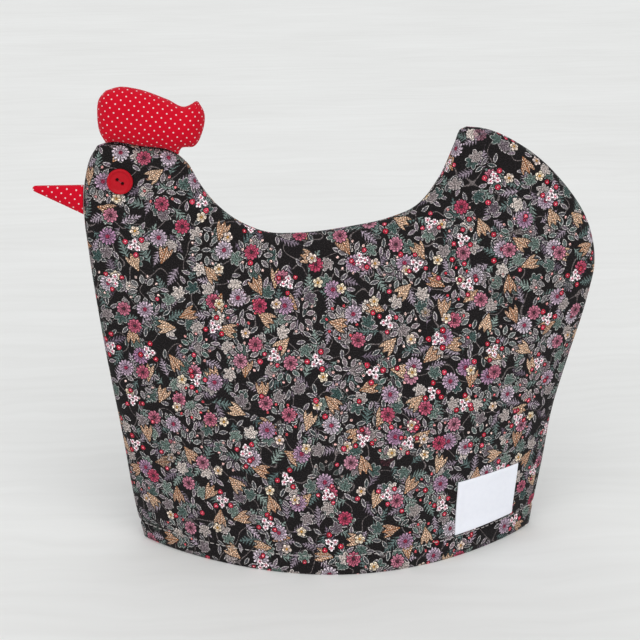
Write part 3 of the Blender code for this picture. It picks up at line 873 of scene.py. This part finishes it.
def sprig(net, x, y, length, width, pitch):
    """Depth inside a sprig of slanting leaflets on both sides of a stem along x.

    The leaflets repeat at a pitch, end at a leaf's outline and taper in a straight line to it.
    """
    side = net.size(y)
    place = net.middled(net.over(net.less(x, net.times(side, SPRIG_SLANT)), pitch))
    reach = net.times(net.math("MAXIMUM", swelling(net, x, length), 0.0), width)
    taper = net.less(1.0, net.over(side, net.plus(reach, LEAST_REACH)))
    leaflet = net.times(net.less(net.times(taper, LEAFLET), net.size(place)), pitch)
    leaflet = net.math("MINIMUM", leaflet, net.less(reach, side))
    stem = net.math("MINIMUM", net.less(SPRIG_STEM, side), net.less(length, net.size(x)))
    return net.math("MAXIMUM", leaflet, stem)


def fan(net, away, angle):
    """Depth inside a fan-shaped leaf, whose lobes reach furthest ahead."""
    reach = net.line(net.math("COSINE", angle), FAN_LEAN, 1 - FAN_LEAN)
    reach = net.times(reach, net.line(lobes(net, angle, FAN_LOBES), FAN_DIP, 1 - FAN_DIP))
    return net.less(net.times(reach, FAN_RADIUS), away)


def vines(net, place):
    """1 on thin winding stems, where a cloudy noise is close to its middle value."""
    cloud = net.less(net.noise(place, VINE_SCALE, 0.0), 0.5)
    return net.edge(net.less(VINE_HALF, net.size(cloud)), VINE_EDGE)


def vein(net, x, y, pitch):
    """1 on the middle vein and the slanting side veins of a leaf along x."""
    side = net.size(y)
    place = net.middled(net.over(net.less(x, side), pitch))
    rib = net.less(VEIN_HALF, net.times(net.size(place), pitch))
    return net.edge(net.math("MAXIMUM", rib, net.less(VEIN_HALF, side)), VEIN_EDGE)


def leaf_ink(net, shape, x, y, tone, inks, pitch=VEIN_PITCH):
    """Leaf colour: paler along the margin and darker on the veins."""
    veins = net.times(vein(net, x, y, pitch), VEIN_SHARE)
    ink = net.mix(veins, net.mix(tone, *inks), GROUND)
    margin = net.less(1.0, net.edge(net.less(shape, MARGIN_WIDTH)))
    return net.mix(net.times(margin, MARGIN_SHARE), ink, MARGIN)


def flower_ink(net, away, lobe, form, heart, inner, outer):
    """Flower colour: paler towards the tips, darker between petals, with a round middle."""
    ink = net.mix(net.math("DIVIDE", away, form.radius, clamp=True), inner, outer)
    ink = net.mix(net.times(net.less(1.0, lobe), PETAL_SHADE), ink, inner)
    return net.mix(net.edge(net.less(form.disc, away), WIDE_EDGE), ink, heart)


def berry(net, ink, x, y, tone, shade, there, gap=GAP):
    """A round berry with a paler spot, of a size that chance gives it."""
    shape = net.less(net.line(shade, *BERRY_SIZE), net.reach(x, y))
    spot = net.edge(net.less(BERRY_SPOT, net.plus(net.size(x), net.size(y))), WIDE_EDGE)
    red = net.mix(spot, net.mix(tone, *BERRY_INKS), BERRY_LIGHT)
    return printed_on(net, ink, shape, red, there, gap)


def sprigs(net, place, ink, layer, size, inks):
    """Layer of sprigs with slanting leaflets."""
    x, y, _, _, tone, _, there = scatter(net, place, layer)
    return printed_on(net, ink, sprig(net, x, y, *size), net.mix(tone, *inks), there)


def small_leaves(net, place, ink):
    """Layer of single pointed leaves."""
    x, y, _, _, tone, _, there = scatter(net, place, SMALL_LEAVES)
    shape = leaf(net, x, y, *SMALL_LEAF)
    green = leaf_ink(net, shape, x, y, tone, SMALL_LEAF_INKS, SMALL_VEIN_PITCH)
    return printed_on(net, ink, shape, green, there)


def fan_leaves(net, place, ink, layer, inks):
    """Layer of lobed leaves."""
    x, y, away, angle, tone, _, there = scatter(net, place, layer)
    shape = fan(net, away, angle)
    return printed_on(net, ink, shape, leaf_ink(net, shape, x, y, tone, inks), there)


def wreaths(net, place, ink):
    """Layer of rings of leaves with berries between their tips."""
    _, _, away, angle, tone, shade, there = scatter(net, place, WREATHS)
    x, y = ring_of(net, away, angle, WREATH_LEAVES, WREATH_RING)
    shape = leaf(net, x, y, *WREATH_LEAF)
    green = leaf_ink(net, shape, x, y, tone, WREATH_INKS)
    ink = printed_on(net, ink, shape, green, there, WREATH_GAP)
    between = net.plus(angle, np.pi / WREATH_LEAVES)
    x, y = ring_of(net, away, between, WREATH_LEAVES, WREATH_BERRY_RING)
    red = net.mix(shade, *WREATH_BERRY_INKS)
    return printed_on(net, ink, leaf(net, x, y, *WREATH_BERRY), red, there)


def seed_heads(net, place, ink):
    """Layer of tan seed heads: three pointed lobes side by side, with stripes and bars."""
    x, y, _, _, tone, _, there = scatter(net, place, SEED_HEADS)
    shape = leaf(net, x, y, *SEED_LOBE)
    for way in (-1.0, 1.0):
        aside = net.plus(y, net.line(x, SEED_SPLAY * way, SEED_APART * way))
        lobe = leaf(net, net.less(x, SEED_SIDE_AHEAD), aside, *SEED_SIDE_LOBE)
        shape = net.math("MAXIMUM", shape, lobe)
    tan = net.mix(tone, *SEED_INKS)
    side = net.size(y)
    for at, (pitch, start, strength, paint) in ((side, SEED_STRIPES), (net.plus(x, side), SEED_BARS)):
        stripe = net.math("GREATER_THAN", net.math("FRACT", net.over(at, pitch)), start)
        tan = net.mix(net.times(stripe, strength), tan, paint)
    return printed_on(net, ink, shape, tan, there)


def flowers(net, place, ink, layer, form, heart, inner, outer, gap):
    """Layer of round flowers."""
    _, _, away, angle, tone, _, there = scatter(net, place, layer)
    shape, lobe = petals(net, away, angle, form)
    inks = net.mix(tone, *inner), net.mix(tone, *outer)
    return printed_on(net, ink, shape, flower_ink(net, away, lobe, form, heart, *inks), there, gap)


def posies(net, place, ink):
    """Layer of close bunches: three blossoms round a middle, with three berries outside them."""
    _, _, away, angle, tone, shade, there = scatter(net, place, POSIES)
    far, way = round_place(net, *ring_of(net, away, angle, POSY_COUNT, POSY_RING))
    shape, lobe = petals(net, far, way, BLOSSOM)
    pale = flower_ink(net, far, lobe, BLOSSOM, *BLOSSOM_INKS)
    ink = printed_on(net, ink, shape, pale, there, NARROW_GAP)
    between = net.plus(angle, POSY_BERRY_TURN)
    x, y = ring_of(net, away, between, POSY_COUNT, POSY_BERRY_RING)
    return berry(net, ink, x, y, tone, shade, there, NARROW_GAP)


def berries(net, place, ink):
    """Layer of single round berries."""
    x, y, _, _, tone, shade, there = scatter(net, place, BERRIES)
    return berry(net, ink, x, y, tone, shade, there)


def floral(net, place):
    """All-over print of scattered flowers, leaves, sprigs and berries on a near-black ground.

    The layers are painted one over another, and a fine noise then darkens and brightens them.
    """
    scale, bend = BEND
    bent = net.vector("ADD", place, net.scaled(net.noise(place, scale, 1.0, output=1), bend))
    ink = net.mix(vines(net, bent), GROUND, VINE)
    for row in SPRIGS:
        ink = sprigs(net, bent, ink, *row)
    ink = small_leaves(net, place, ink)
    for row in FANS:
        ink = fan_leaves(net, place, ink, *row)
    ink = wreaths(net, place, ink)
    ink = seed_heads(net, place, ink)
    for row in FLOWERS:
        ink = flowers(net, place, ink, *row)
    ink = posies(net, place, ink)
    ink = berries(net, place, ink)
    least, most = GRAIN_ENDS
    grain = net.math("MAXIMUM", net.line(net.noise(place, GRAIN_SCALE, 1.0), *GRAIN_LINE), least)
    return net.scaled(ink, net.math("MINIMUM", grain, most))


# Materials.


def new_material(name):
    """Material with a Principled shader, and the net to build its colour in."""
    material = bpy.data.materials.new(name)
    material.use_nodes = True
    tree = material.node_tree
    return material, Net(tree), tree.nodes["Principled BSDF"]


def finished(net, shader, paint, finish):
    """Joins the colour to the shader, and sets the finish's constants on its own sockets."""
    net.join(paint, shader.inputs["Base Color"])
    for name, value in finish.items():
        net.join(value, shader.inputs[name])


def raised(net, shader, height, strength, distance):
    """Bump of a height, as low relief."""
    bump = net.put("ShaderNodeBump", {"Height": height, "Strength": strength, "Distance": distance})
    net.join(bump.outputs[0], shader.inputs["Normal"])


def weave(net, place, shader, pitch, strength):
    """Plain weave as a bump: the product of two crossed sine waves, a little uneven."""
    uneven = net.scaled(net.noise(place, WEAVE_UNEVEN, 1.0, output=1), pitch)
    x, y, _ = net.parts(net.vector("ADD", place, uneven))
    along, across = (net.math("SINE", net.times(part, 2 * np.pi / pitch)) for part in (x, y))
    raised(net, shader, net.times(along, across), strength, WEAVE_HEIGHT)


def printed_cotton():
    """Printed cotton: the floral print, a little faded in places."""
    material, net, shader = new_material("printed_cotton")
    place = net.cloth_place()
    scale, strength, paint = PRINT_FADE
    fade = net.times(net.noise(place, scale, 1.0), strength)
    finished(net, shader, net.mix(fade, floral(net, place), paint), PRINT_FINISH)
    weave(net, place, shader, *PRINT_WEAVE)
    return material


def plain_cotton():
    """Plain dark cotton on the inside of the panels."""
    material, net, shader = new_material("plain_cotton")
    place = net.cloth_place()
    finished(net, shader, net.mix(net.noise(place, PLAIN_CLOUD), *PLAIN_INKS), PLAIN_FINISH)
    weave(net, place, shader, *PLAIN_WEAVE)
    return material


def dotted_cotton():
    """Red cotton with small white dots in slanting rows, each row shifted along from the last."""
    material, net, shader = new_material("dotted_cotton")
    place = net.cloth_place()
    x, y, _ = net.parts(net.turned(place, DOT_TILT))
    row = net.over(y, DOT_ROWS)
    shift = net.times(net.math("FLOOR", row), DOT_SHIFT)
    across = net.times(net.middled(net.plus(net.over(x, DOT_PITCH), shift)), DOT_PITCH)
    away = net.reach(across, net.times(net.middled(row), DOT_ROWS))
    dot = net.times(net.edge(net.less(DOT_RADIUS, away), DOT_EDGE), DOT_COVER)
    red = net.mix(net.noise(place, RED_CLOUD, 1.0), *RED_INKS)
    finished(net, shader, net.mix(dot, red, DOT_WHITE), RED_FINISH)
    weave(net, place, shader, *RED_WEAVE)
    return material


def plastic(name, inks, shine):
    """Moulded plastic, lightly scuffed: a noise makes its roughness uneven."""
    material, net, shader = new_material(name)
    place = net.object_place()
    scale, change, least = PLASTIC_SCUFFS
    scuffs = net.line(net.noise(place, scale), change, least)
    paint = net.mix(net.noise(place, PLASTIC_CLOUD), *inks)
    finished(net, shader, paint, {"Roughness": scuffs, "Specular IOR Level": shine})
    return material


def thread(name, inks):
    """Twisted cotton thread, its fibres a fine bump."""
    material, net, shader = new_material(name)
    place = net.object_place()
    finished(net, shader, net.mix(net.noise(place, THREAD_CLOUD, 1.0), *inks), THREAD_FINISH)
    scale, strength, height = THREAD_FIBRES
    raised(net, shader, net.noise(place, scale, 1.0), strength, height)
    return material


def label_cotton():
    """Bare white label: close plain weave, a little cooler than the floor."""
    material, net, shader = new_material("label_cloth")
    place = net.cloth_place()
    finished(net, shader, net.mix(net.noise(place, LABEL_CLOUD), *LABEL_INKS), LABEL_FINISH)
    weave(net, place, shader, *LABEL_WEAVE)
    return material


def floor_paint():
    """Pale painted floor: the mean of noise drawn out into streaks along X and of soft clouds."""
    material, net, shader = new_material("floor")
    place = net.object_place()
    scale, detail, bend = FLOOR_BEND
    bent = net.vector("ADD", place, net.scaled(net.noise(place, scale, detail, output=1), bend))
    streak, cloud = (
        net.noise(net.vector("MULTIPLY", at, stretch), scale, detail)
        for at, (stretch, scale, detail) in ((bent, FLOOR_STREAKS), (place, FLOOR_CLOUDS))
    )
    tone = net.line(streak, 0.5, net.times(cloud, 0.5))
    finished(net, shader, net.mix(tone, *FLOOR_INKS), FLOOR_FINISH)
    return material


# Pieces.


def panel_cloth(name, side, node, printed, plain):
    """Padded panel as one closed cloth: printed outside and on the turned-up hem, plain inside.

    Both skins are worked out on one grid of shares, whose lines lie closer in the padded edges.
    """
    columns = grid_lines(PANEL_COLUMNS, EDGE_RADIUS, PANEL_WIDTH)
    hem = np.linspace(0.0, HEM_SHARE, HEM_ROWS)[:-1]
    top = 1.0 - edge_lines(EDGE_RADIUS, PANEL_RISE)[::-1]
    rows = np.concatenate([hem, np.linspace(HEM_SHARE, top[0], PANEL_ROWS)[:-1], top])
    s, t = (line.ravel() for line in np.meshgrid(columns, rows))
    skins = panel_point(side, s, t, outer=True, fine=True), panel_point(side, s, t, outer=False)
    shape = len(rows), len(columns)
    faces = skin_faces(*shape, side > 0)
    count = (shape[0] - 1) * (shape[1] - 1)
    which = np.zeros(len(faces), int)
    which[count:2 * count] = np.repeat(hem_height(rows[:-1]), shape[1] - 1) > STITCH_HEIGHT
    cloth = cloth_place(side, s, t)
    maps = np.concatenate([cloth, cloth])
    item = mesh_piece(name, np.concatenate(skins), faces, (printed, plain), maps, which=which)
    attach(item, "root")
    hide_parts(node)
    return item


def share_at(points, column, value):
    """Share of a smooth curve's length at which one of its coordinates first has a value."""
    share = np.linspace(0.0, 1.0, CURVE_STEPS)
    return share[np.argmin(np.abs(smooth_curve(points, share)[:, column] - value))]


def seated_curve(points, first, last, share):
    """Stretch of a seam curve, moved out by the gap that a piece sewn into it keeps."""
    at = first + (last - first) * np.asarray(share)
    return smooth_curve(points, at) + SEAT_GAP * outward(points, at)


def stuffed_piece(name, node, columns, rows, place, material):
    """Closed stuffed piece, the same on both sides of the seam plane.

    place(s, t) gives its flat points, their half thicknesses and their places on the flat cloth.
    """
    s, t = (line.ravel() for line in np.meshgrid(columns, rows))
    flat, half, cloth = place(s, t)
    skins = [np.stack([flat[:, 0], way * half, flat[:, 1]], axis=-1) for way in (-1, 1)]
    maps = np.concatenate([cloth, cloth * (-1.0, 1.0) + FAR_DOTS])
    faces = skin_faces(len(rows), len(columns), False)
    item = mesh_piece(name, np.concatenate(skins), faces, (material,), maps)
    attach(item, "root")
    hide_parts(node)
    return item


def rounded_tip(flat):
    """The comb's flat points, with those beyond the tip's circle drawn in to it."""
    away = flat - np.array(COMB_TIP_CENTRE)
    length = np.linalg.norm(away, axis=1)
    towards = away @ np.array(COMB_TIP_WAY) > length * np.cos(COMB_TIP_SPREAD)
    beyond = towards & (length > COMB_TIP_RADIUS)
    share = np.where(beyond, COMB_TIP_RADIUS / np.maximum(length, COMB_TIP_RADIUS), 1.0)
    return np.array(COMB_TIP_CENTRE) + away * share[:, None]


def comb_cloth(material):
    """Stuffed comb: a flat outline blended from its four edges, rounded out like a cushion.

    Half the thickness follows a quarter circle of the distance to the outline, and the gathers
    of the seam, two sine waves, run round it.
    """
    first, last = (share_at(TOP, 0, x) for x in COMB_ROOT_X)
    root_ends = seated_curve(TOP, first, last, np.array([0.0, 1.0]))
    front = (tuple(root_ends[0]),) + COMB_FRONT
    back = (tuple(root_ends[1]),) + COMB_BACK

    def root(share):
        """The comb's lower edge, beside the seam."""
        return seated_curve(TOP, first, last, share)

    share = np.linspace(0.0, 1.0, SEAM_POINTS)
    top, rise = smooth_curve(COMB_TOP, share), smooth_curve(front, share)
    edge = np.concatenate([root(share), smooth_curve(back, share), top[::-1], rise[::-1]])
    edge = rounded_tip(edge)

    def place(s, t):
        """Flat points, half thicknesses and places on the flat cloth."""
        flat = rounded_tip(four_sided(
            root,
            lambda part: smooth_curve(COMB_TOP, part),
            lambda part: smooth_curve(front, part),
            lambda part: smooth_curve(back, part),
            s, t, t,
        ))
        distance, way, along = nearest_on(edge, flat)
        half = PINCH + (COMB_HALF - PINCH) * round_rise(distance, COMB_EDGE)
        turn = 2.0 * np.pi * along / COMB_PUCKER_PITCH
        turns, height = COMB_PUCKER_SECOND
        wave = np.sin(turn) + height * np.sin(turns * turn + 1.0)
        fade = np.clip(distance / COMB_PUCKER_START, 0.0, 1.0)
        half += COMB_PUCKER * wave * fade * np.exp(-((distance / COMB_PUCKER_REACH) ** 2))
        return flat, half, flat - way * turned_over(distance, COMB_EDGE, COMB_EDGE_TURN)[:, None]

    columns, rows = (crowded(cells) for cells in COMB_GRID)
    return stuffed_piece("comb_cloth", "comb", columns, rows, place, material)


def beak_cloth(material):
    """Stuffed beak: an oval section that narrows from the breast seam to a blunt tip.

    Along the beak the half thickness grows as the square root of the share, and up its section
    it follows a half circle.
    """
    first, last = (share_at(BREAST, 1, z) for z in BEAK_ROOT_Z)

    def root(share):
        """The beak's wide end, beside the seam."""
        return seated_curve(BREAST, first, last, share)

    def tip(share):
        """Its blunt end, half a circle."""
        up = 2.0 * share - 1.0
        curve = np.stack([1.0 - half_circle(up), up], axis=-1)
        return np.array(BEAK_TIP) + BEAK_TIP_HEIGHT / 2 * curve

    def edge(end):
        """Its straight lower or upper edge."""
        start, stop = tip(np.array([end]))[0], root(np.array([end]))[0]
        return lambda share: start + (stop - start) * share[:, None]

    def place(s, t):
        """Flat points, half thicknesses and places on the flat cloth."""
        flat = four_sided(edge(0.0), edge(1.0), tip, root, s, t, t)
        full = BEAK_HALF_TIP + (BEAK_HALF_ROOT - BEAK_HALF_TIP) * np.sqrt(s)
        half = PINCH + (full - PINCH) * half_circle(2.0 * t - 1.0)
        half *= round_rise(s, BEAK_TIP_CLOSING) * (1.0 - BEAK_TIP_LEAST) + BEAK_TIP_LEAST
        half += BEAK_WAVE[0] * np.sin(BEAK_WAVE[1] * s) * np.sin(np.pi * t)
        return flat, half, flat

    columns = np.linspace(0.0, 1.0, BEAK_GRID[0] + 1) ** BEAK_CROWDING
    return stuffed_piece("beak_cloth", "beak", columns, crowded(BEAK_GRID[1]), place, material)


def disc_lines(count):
    """Points of a square grid pressed into a round disc: radius share and angle of each.

    Each square ring of the grid becomes a circle, so that the disc has no pole.
    """
    even = np.linspace(-1.0, 1.0, count)
    x, y = (line.ravel() for line in np.meshgrid(even, even))
    wide = np.abs(x) > np.abs(y)
    radius = np.where(wide, x, y)
    with_zero = np.where(radius == 0.0, 1.0, radius)
    angle = np.where(wide, np.pi / 4 * y / with_zero, np.pi / 2 - np.pi / 4 * x / with_zero)
    return radius, angle


def eye_place(side):
    """Middle of a button's underside, and the three directions it lies along, as columns."""
    s, t = np.array([EYE_ACROSS]), np.array([EYE_UP])
    normal = panel_normal(side, s, t)[0]
    seat = panel_point(side, s, t)[0] + normal * SEAT_GAP
    upright = np.array(Vector(normal).to_track_quat("Z", "Y").to_matrix())
    return seat, upright


def button(name, side, node, red, dark):
    """Two-hole button: a turned profile of dish, raised rim and rounded side, with sunk holes.

    Each point of a round disc takes the profile's radius and height at its share of the
    profile's length, and those within a hole's radius drop to the hole's floor. The floors'
    faces take a near-black plastic, which is painted shade in the holes.
    """
    profile = np.array(BUTTON_PROFILE)
    radius, angle = disc_lines(BUTTON_GRID)
    run = np.concatenate([[0.0], np.cumsum(np.linalg.norm(np.diff(profile, axis=0), axis=1))])
    at = np.abs(radius) * run[-1]
    away = np.interp(at, run, profile[:, 0]) * np.sign(radius)
    x, y = away * np.cos(angle), away * np.sin(angle)
    apart = np.full(len(x), np.inf)
    for way in (-0.5, 0.5):
        middle = way * BUTTON_HOLE_SPACING * BUTTON_HOLE_WAY
        apart = np.minimum(apart, np.hypot(x - middle[0], y - middle[1]))
    sunk = (at < run[1]) & (apart < BUTTON_HOLE_RADIUS)
    height = np.where(sunk, BUTTON_HOLE_FLOOR, np.interp(at, run, profile[:, 1]))
    seat, upright = eye_place(side)
    points = np.stack([x, y, height], axis=-1) @ upright.T + seat
    faces = grid_faces(BUTTON_GRID, BUTTON_GRID, 0, False)
    # Faces on the holes' floors take the second material, coloured near-black as painted shade.
    which = np.append(sunk[faces].all(axis=1), False).astype(int)
    faces = faces.tolist() + [rim_loop(BUTTON_GRID, BUTTON_GRID)[::-1].tolist()]
    item = mesh_piece(name, points, faces, (red, dark), None, BUTTON_SHARP, which)
    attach(item, "root")
    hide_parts(node)
    return item


def beads(name, middles, along, out, half_length, half_thick, material):
    """Short stitches, each an oval bead that lies along its own direction and bends into the cloth.

    With the place along a bead from -1 to 1, its radius is the square root of one less the
    fourth power of the place, and its middle line sinks by the square of it.
    """
    place = np.linspace(-1.0, 1.0, BEAD_RINGS)[:, None]
    angle = np.linspace(0.0, 2.0 * np.pi, BEAD_SIDES, endpoint=False)[None, :]
    rise, fall = BEAD_ARC
    girth = half_thick * np.sqrt(np.maximum(1.0 - place**4, BEAD_BLUNT))
    steps = (
        (along, half_length * place + 0.0 * angle),
        (np.cross(along, out), girth * np.cos(angle)),
        (out, half_thick * (rise - fall * place**2) + girth * np.sin(angle)),
    )
    points = middles[:, None] + sum(way[:, None] * far.ravel()[None, :, None] for way, far in steps)
    ring = np.arange(BEAD_RINGS - 1)[:, None] * BEAD_SIDES
    corner = np.arange(BEAD_SIDES)
    after = (corner + 1) % BEAD_SIDES
    faces = [ring + corner, ring + BEAD_SIDES + corner, ring + BEAD_SIDES + after, ring + after]
    faces = np.stack(faces, axis=-1).reshape(-1, 4)
    size = BEAD_RINGS * BEAD_SIDES
    starts = np.arange(len(middles))[:, None, None] * size
    caps = np.stack([corner, corner[::-1] + size - BEAD_SIDES]) + starts
    faces = (faces + starts).reshape(-1, 4).tolist() + caps.reshape(-1, BEAD_SIDES).tolist()
    item = mesh_piece(name, points.reshape(-1, 3), faces, (material,))
    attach(item, "root")
    return item


def topstitch(name, side, material):
    """Line of stitches round one panel's hem, a little uneven in length and place."""
    dense = np.linspace(*STITCH_ENDS, STITCH_SEARCH)
    level = STITCH_HEIGHT / HEM_ZONE * HEM_SHARE
    line = panel_point(side, dense, np.full_like(dense, level))
    run = np.concatenate([[0.0], np.cumsum(np.linalg.norm(np.diff(line, axis=0), axis=1))])
    count = int(run[-1] / STITCH_PITCH)
    number = np.arange(count)
    shift = STITCH_UNEVEN[0] * np.sin(number * STITCH_UNEVEN[1])
    s = np.interp((number + 0.5 + shift) * run[-1] / count, run, dense)
    t = level + STITCH_STRAY[0] * np.sin(number * STITCH_STRAY[1])
    ahead = panel_point(side, s + STITCH_STEP, t) - panel_point(side, s - STITCH_STEP, t)
    along = ahead / np.linalg.norm(ahead, axis=1)[:, None]
    out = stitch_normal(side, s, t, along)
    half = 0.5 * STITCH_SHOWN * run[-1] / count
    middles = panel_point(side, s, t)
    return beads(name, middles, along, out, half, THREAD, material)


def stitch_normal(side, s, t, along):
    """Unit normals of the outer skin at the stitches, square to the line of stitching."""
    upward = panel_point(side, s, t + STITCH_RISE) - panel_point(side, s, t - STITCH_RISE)
    out = np.cross(along, upward)
    out *= np.sign(out[:, 1:2]) * side
    out -= along * (out * along).sum(axis=1)[:, None]
    return out / np.linalg.norm(out, axis=1)[:, None]


def button_thread(name, side, material):
    """Two strands of thread from one hole of the button to the other."""
    seat, upright = eye_place(side)
    way = upright @ BUTTON_HOLE_WAY
    out = upright[:, 2]
    middle = seat + out * (BUTTON_THICK - BUTTON_DISH)
    middles = np.stack([middle + np.cross(way, out) * aside for aside in (-STRAND_ASIDE, STRAND_ASIDE)])
    along, outs = np.stack([way] * 2), np.stack([out] * 2)
    half = STRAND_REACH * BUTTON_HOLE_SPACING
    return beads(name, middles, along, outs, half, STRAND_HALF, material)


def share_at_height(s, height):
    """Height share t at which the panel's points at s reach a height, found by halving a range."""
    low, high = np.zeros_like(s), np.full_like(s, LABEL_SEARCH)
    for _ in range(HALVINGS):
        middle = (low + high) / 2
        below = panel_flat(s, middle)[:, 1] < height
        low, high = np.where(below, middle, low), np.where(below, high, middle)
    return (low + high) / 2


def label_piece(material):
    """Bare oblong label: a thin closed cloth bent to the panel, thicker where its edges fold under.

    The thickness rises from the rim as a quarter circle, and falls inside the folded edge as a
    bell curve of the fourth power. A low sine wave runs across it.
    """
    columns, rows = (crowded(cells) for cells in LABEL_GRID)
    u, v = (line.ravel() for line in np.meshgrid(columns, rows))
    low, high = LABEL_HEIGHTS
    s = LABEL_ACROSS[0] + (LABEL_ACROSS[1] - LABEL_ACROSS[0]) * u - LABEL_LEAN * v
    t = share_at_height(s, low + (high - low) * v + LABEL_RISE * u)
    base, normal = panel_point(-1, s, t), panel_normal(-1, s, t)
    maps = np.stack([u * LABEL_SIZE[0], v * LABEL_SIZE[1]], axis=-1)
    distance = np.minimum(maps, np.array(LABEL_SIZE) - maps).min(axis=1)
    body = LABEL_MIDDLE + (1.0 - LABEL_MIDDLE) * np.exp(-((distance / LABEL_FOLD) ** 4))
    body *= LABEL_RIM + (1.0 - LABEL_RIM) * round_rise(distance, LABEL_ROUND)
    height, across, up = LABEL_WAVE
    wave = height * np.sin(across * u + up * v) * np.clip(distance / LABEL_WAVE_START, 0.0, 1.0)
    lift = SEAT_GAP + LABEL_THICK * body + wave
    points = np.concatenate([base + normal * lift[:, None], base + normal * SEAT_GAP])
    faces, maps = skin_faces(len(rows), len(columns), False), np.concatenate([maps, maps])
    item = mesh_piece("label_cloth", points, faces, (material,), maps, LABEL_SHARP)
    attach(item, "root")
    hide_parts("label")
    return item


def floor(material):
    """Wide pale floor, one square."""
    far = FLOOR_HALF
    corners = np.array([(-far, -far, 0.0), (far, -far, 0.0), (far, far, 0.0), (-far, far, 0.0)])
    item = mesh_piece("floor", corners, [(0, 1, 2, 3)], (material,))
    return item


def sun_light(name, way, spread, strength):
    """Even soft light from far away, from the side that way points to."""
    data = bpy.data.lights.new(name, "SUN")
    data.energy = strength
    data.angle = np.radians(spread)
    data.color = SUN_COLOUR
    placed(name, data).rotation_euler = Vector(way).to_track_quat("Z", "Y").to_euler()


def surroundings():
    """Even pale light from all round."""
    world = bpy.data.worlds.new("studio")
    world.use_nodes = True
    light = world.node_tree.nodes["Background"]
    light.inputs["Color"].default_value = WORLD_COLOUR
    light.inputs["Strength"].default_value = WORLD_LIGHT
    bpy.context.scene.world = world


def camera():
    """Camera at the photograph's place: 1.1 m away, 19 degrees above the floor."""
    data = bpy.data.cameras.new("camera")
    data.sensor_width = CAMERA_SENSOR
    data.lens = CAMERA_LENS
    item = placed("camera", data)
    item.location = CAMERA_PLACE
    item.rotation_euler = np.radians(CAMERA_TURN)
    bpy.context.scene.camera = item


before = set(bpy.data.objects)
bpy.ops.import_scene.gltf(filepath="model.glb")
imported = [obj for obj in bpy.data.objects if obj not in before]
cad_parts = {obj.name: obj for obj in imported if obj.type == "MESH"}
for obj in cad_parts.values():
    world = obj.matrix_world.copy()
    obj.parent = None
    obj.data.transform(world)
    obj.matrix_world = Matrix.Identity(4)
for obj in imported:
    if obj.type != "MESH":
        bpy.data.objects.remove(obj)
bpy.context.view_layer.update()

printed, plain, dotted = printed_cotton(), plain_cotton(), dotted_cotton()
red_plastic = plastic("button_plastic", BUTTON_INKS, BUTTON_SHINE)
# Near-black plastic for the holes' floors: painted shade.
hole_shade_plastic = plastic("button_hole_shade", HOLE_SHADE_INKS, HOLE_SHINE)
grey_thread = thread("grey_thread", HEM_THREAD_INKS)
red_thread = thread("red_thread", BUTTON_THREAD_INKS)

for side, where in ((-1, "front"), (1, "back")):
    panel_cloth(f"{where}_cloth", side, f"{where}_panel", printed, plain)
    topstitch(f"topstitch_{where}", side, grey_thread)
    button(f"button_{where}", side, f"eye_button_{where}", red_plastic, hole_shade_plastic)
    button_thread(f"button_thread_{where}", side, red_thread)
comb_cloth(dotted)
beak_cloth(dotted)
label_piece(label_cotton())

floor(floor_paint())
surroundings()
for row in SUNS:
    sun_light(*row)
camera()
bpy.context.scene.view_settings.view_transform = "Standard"
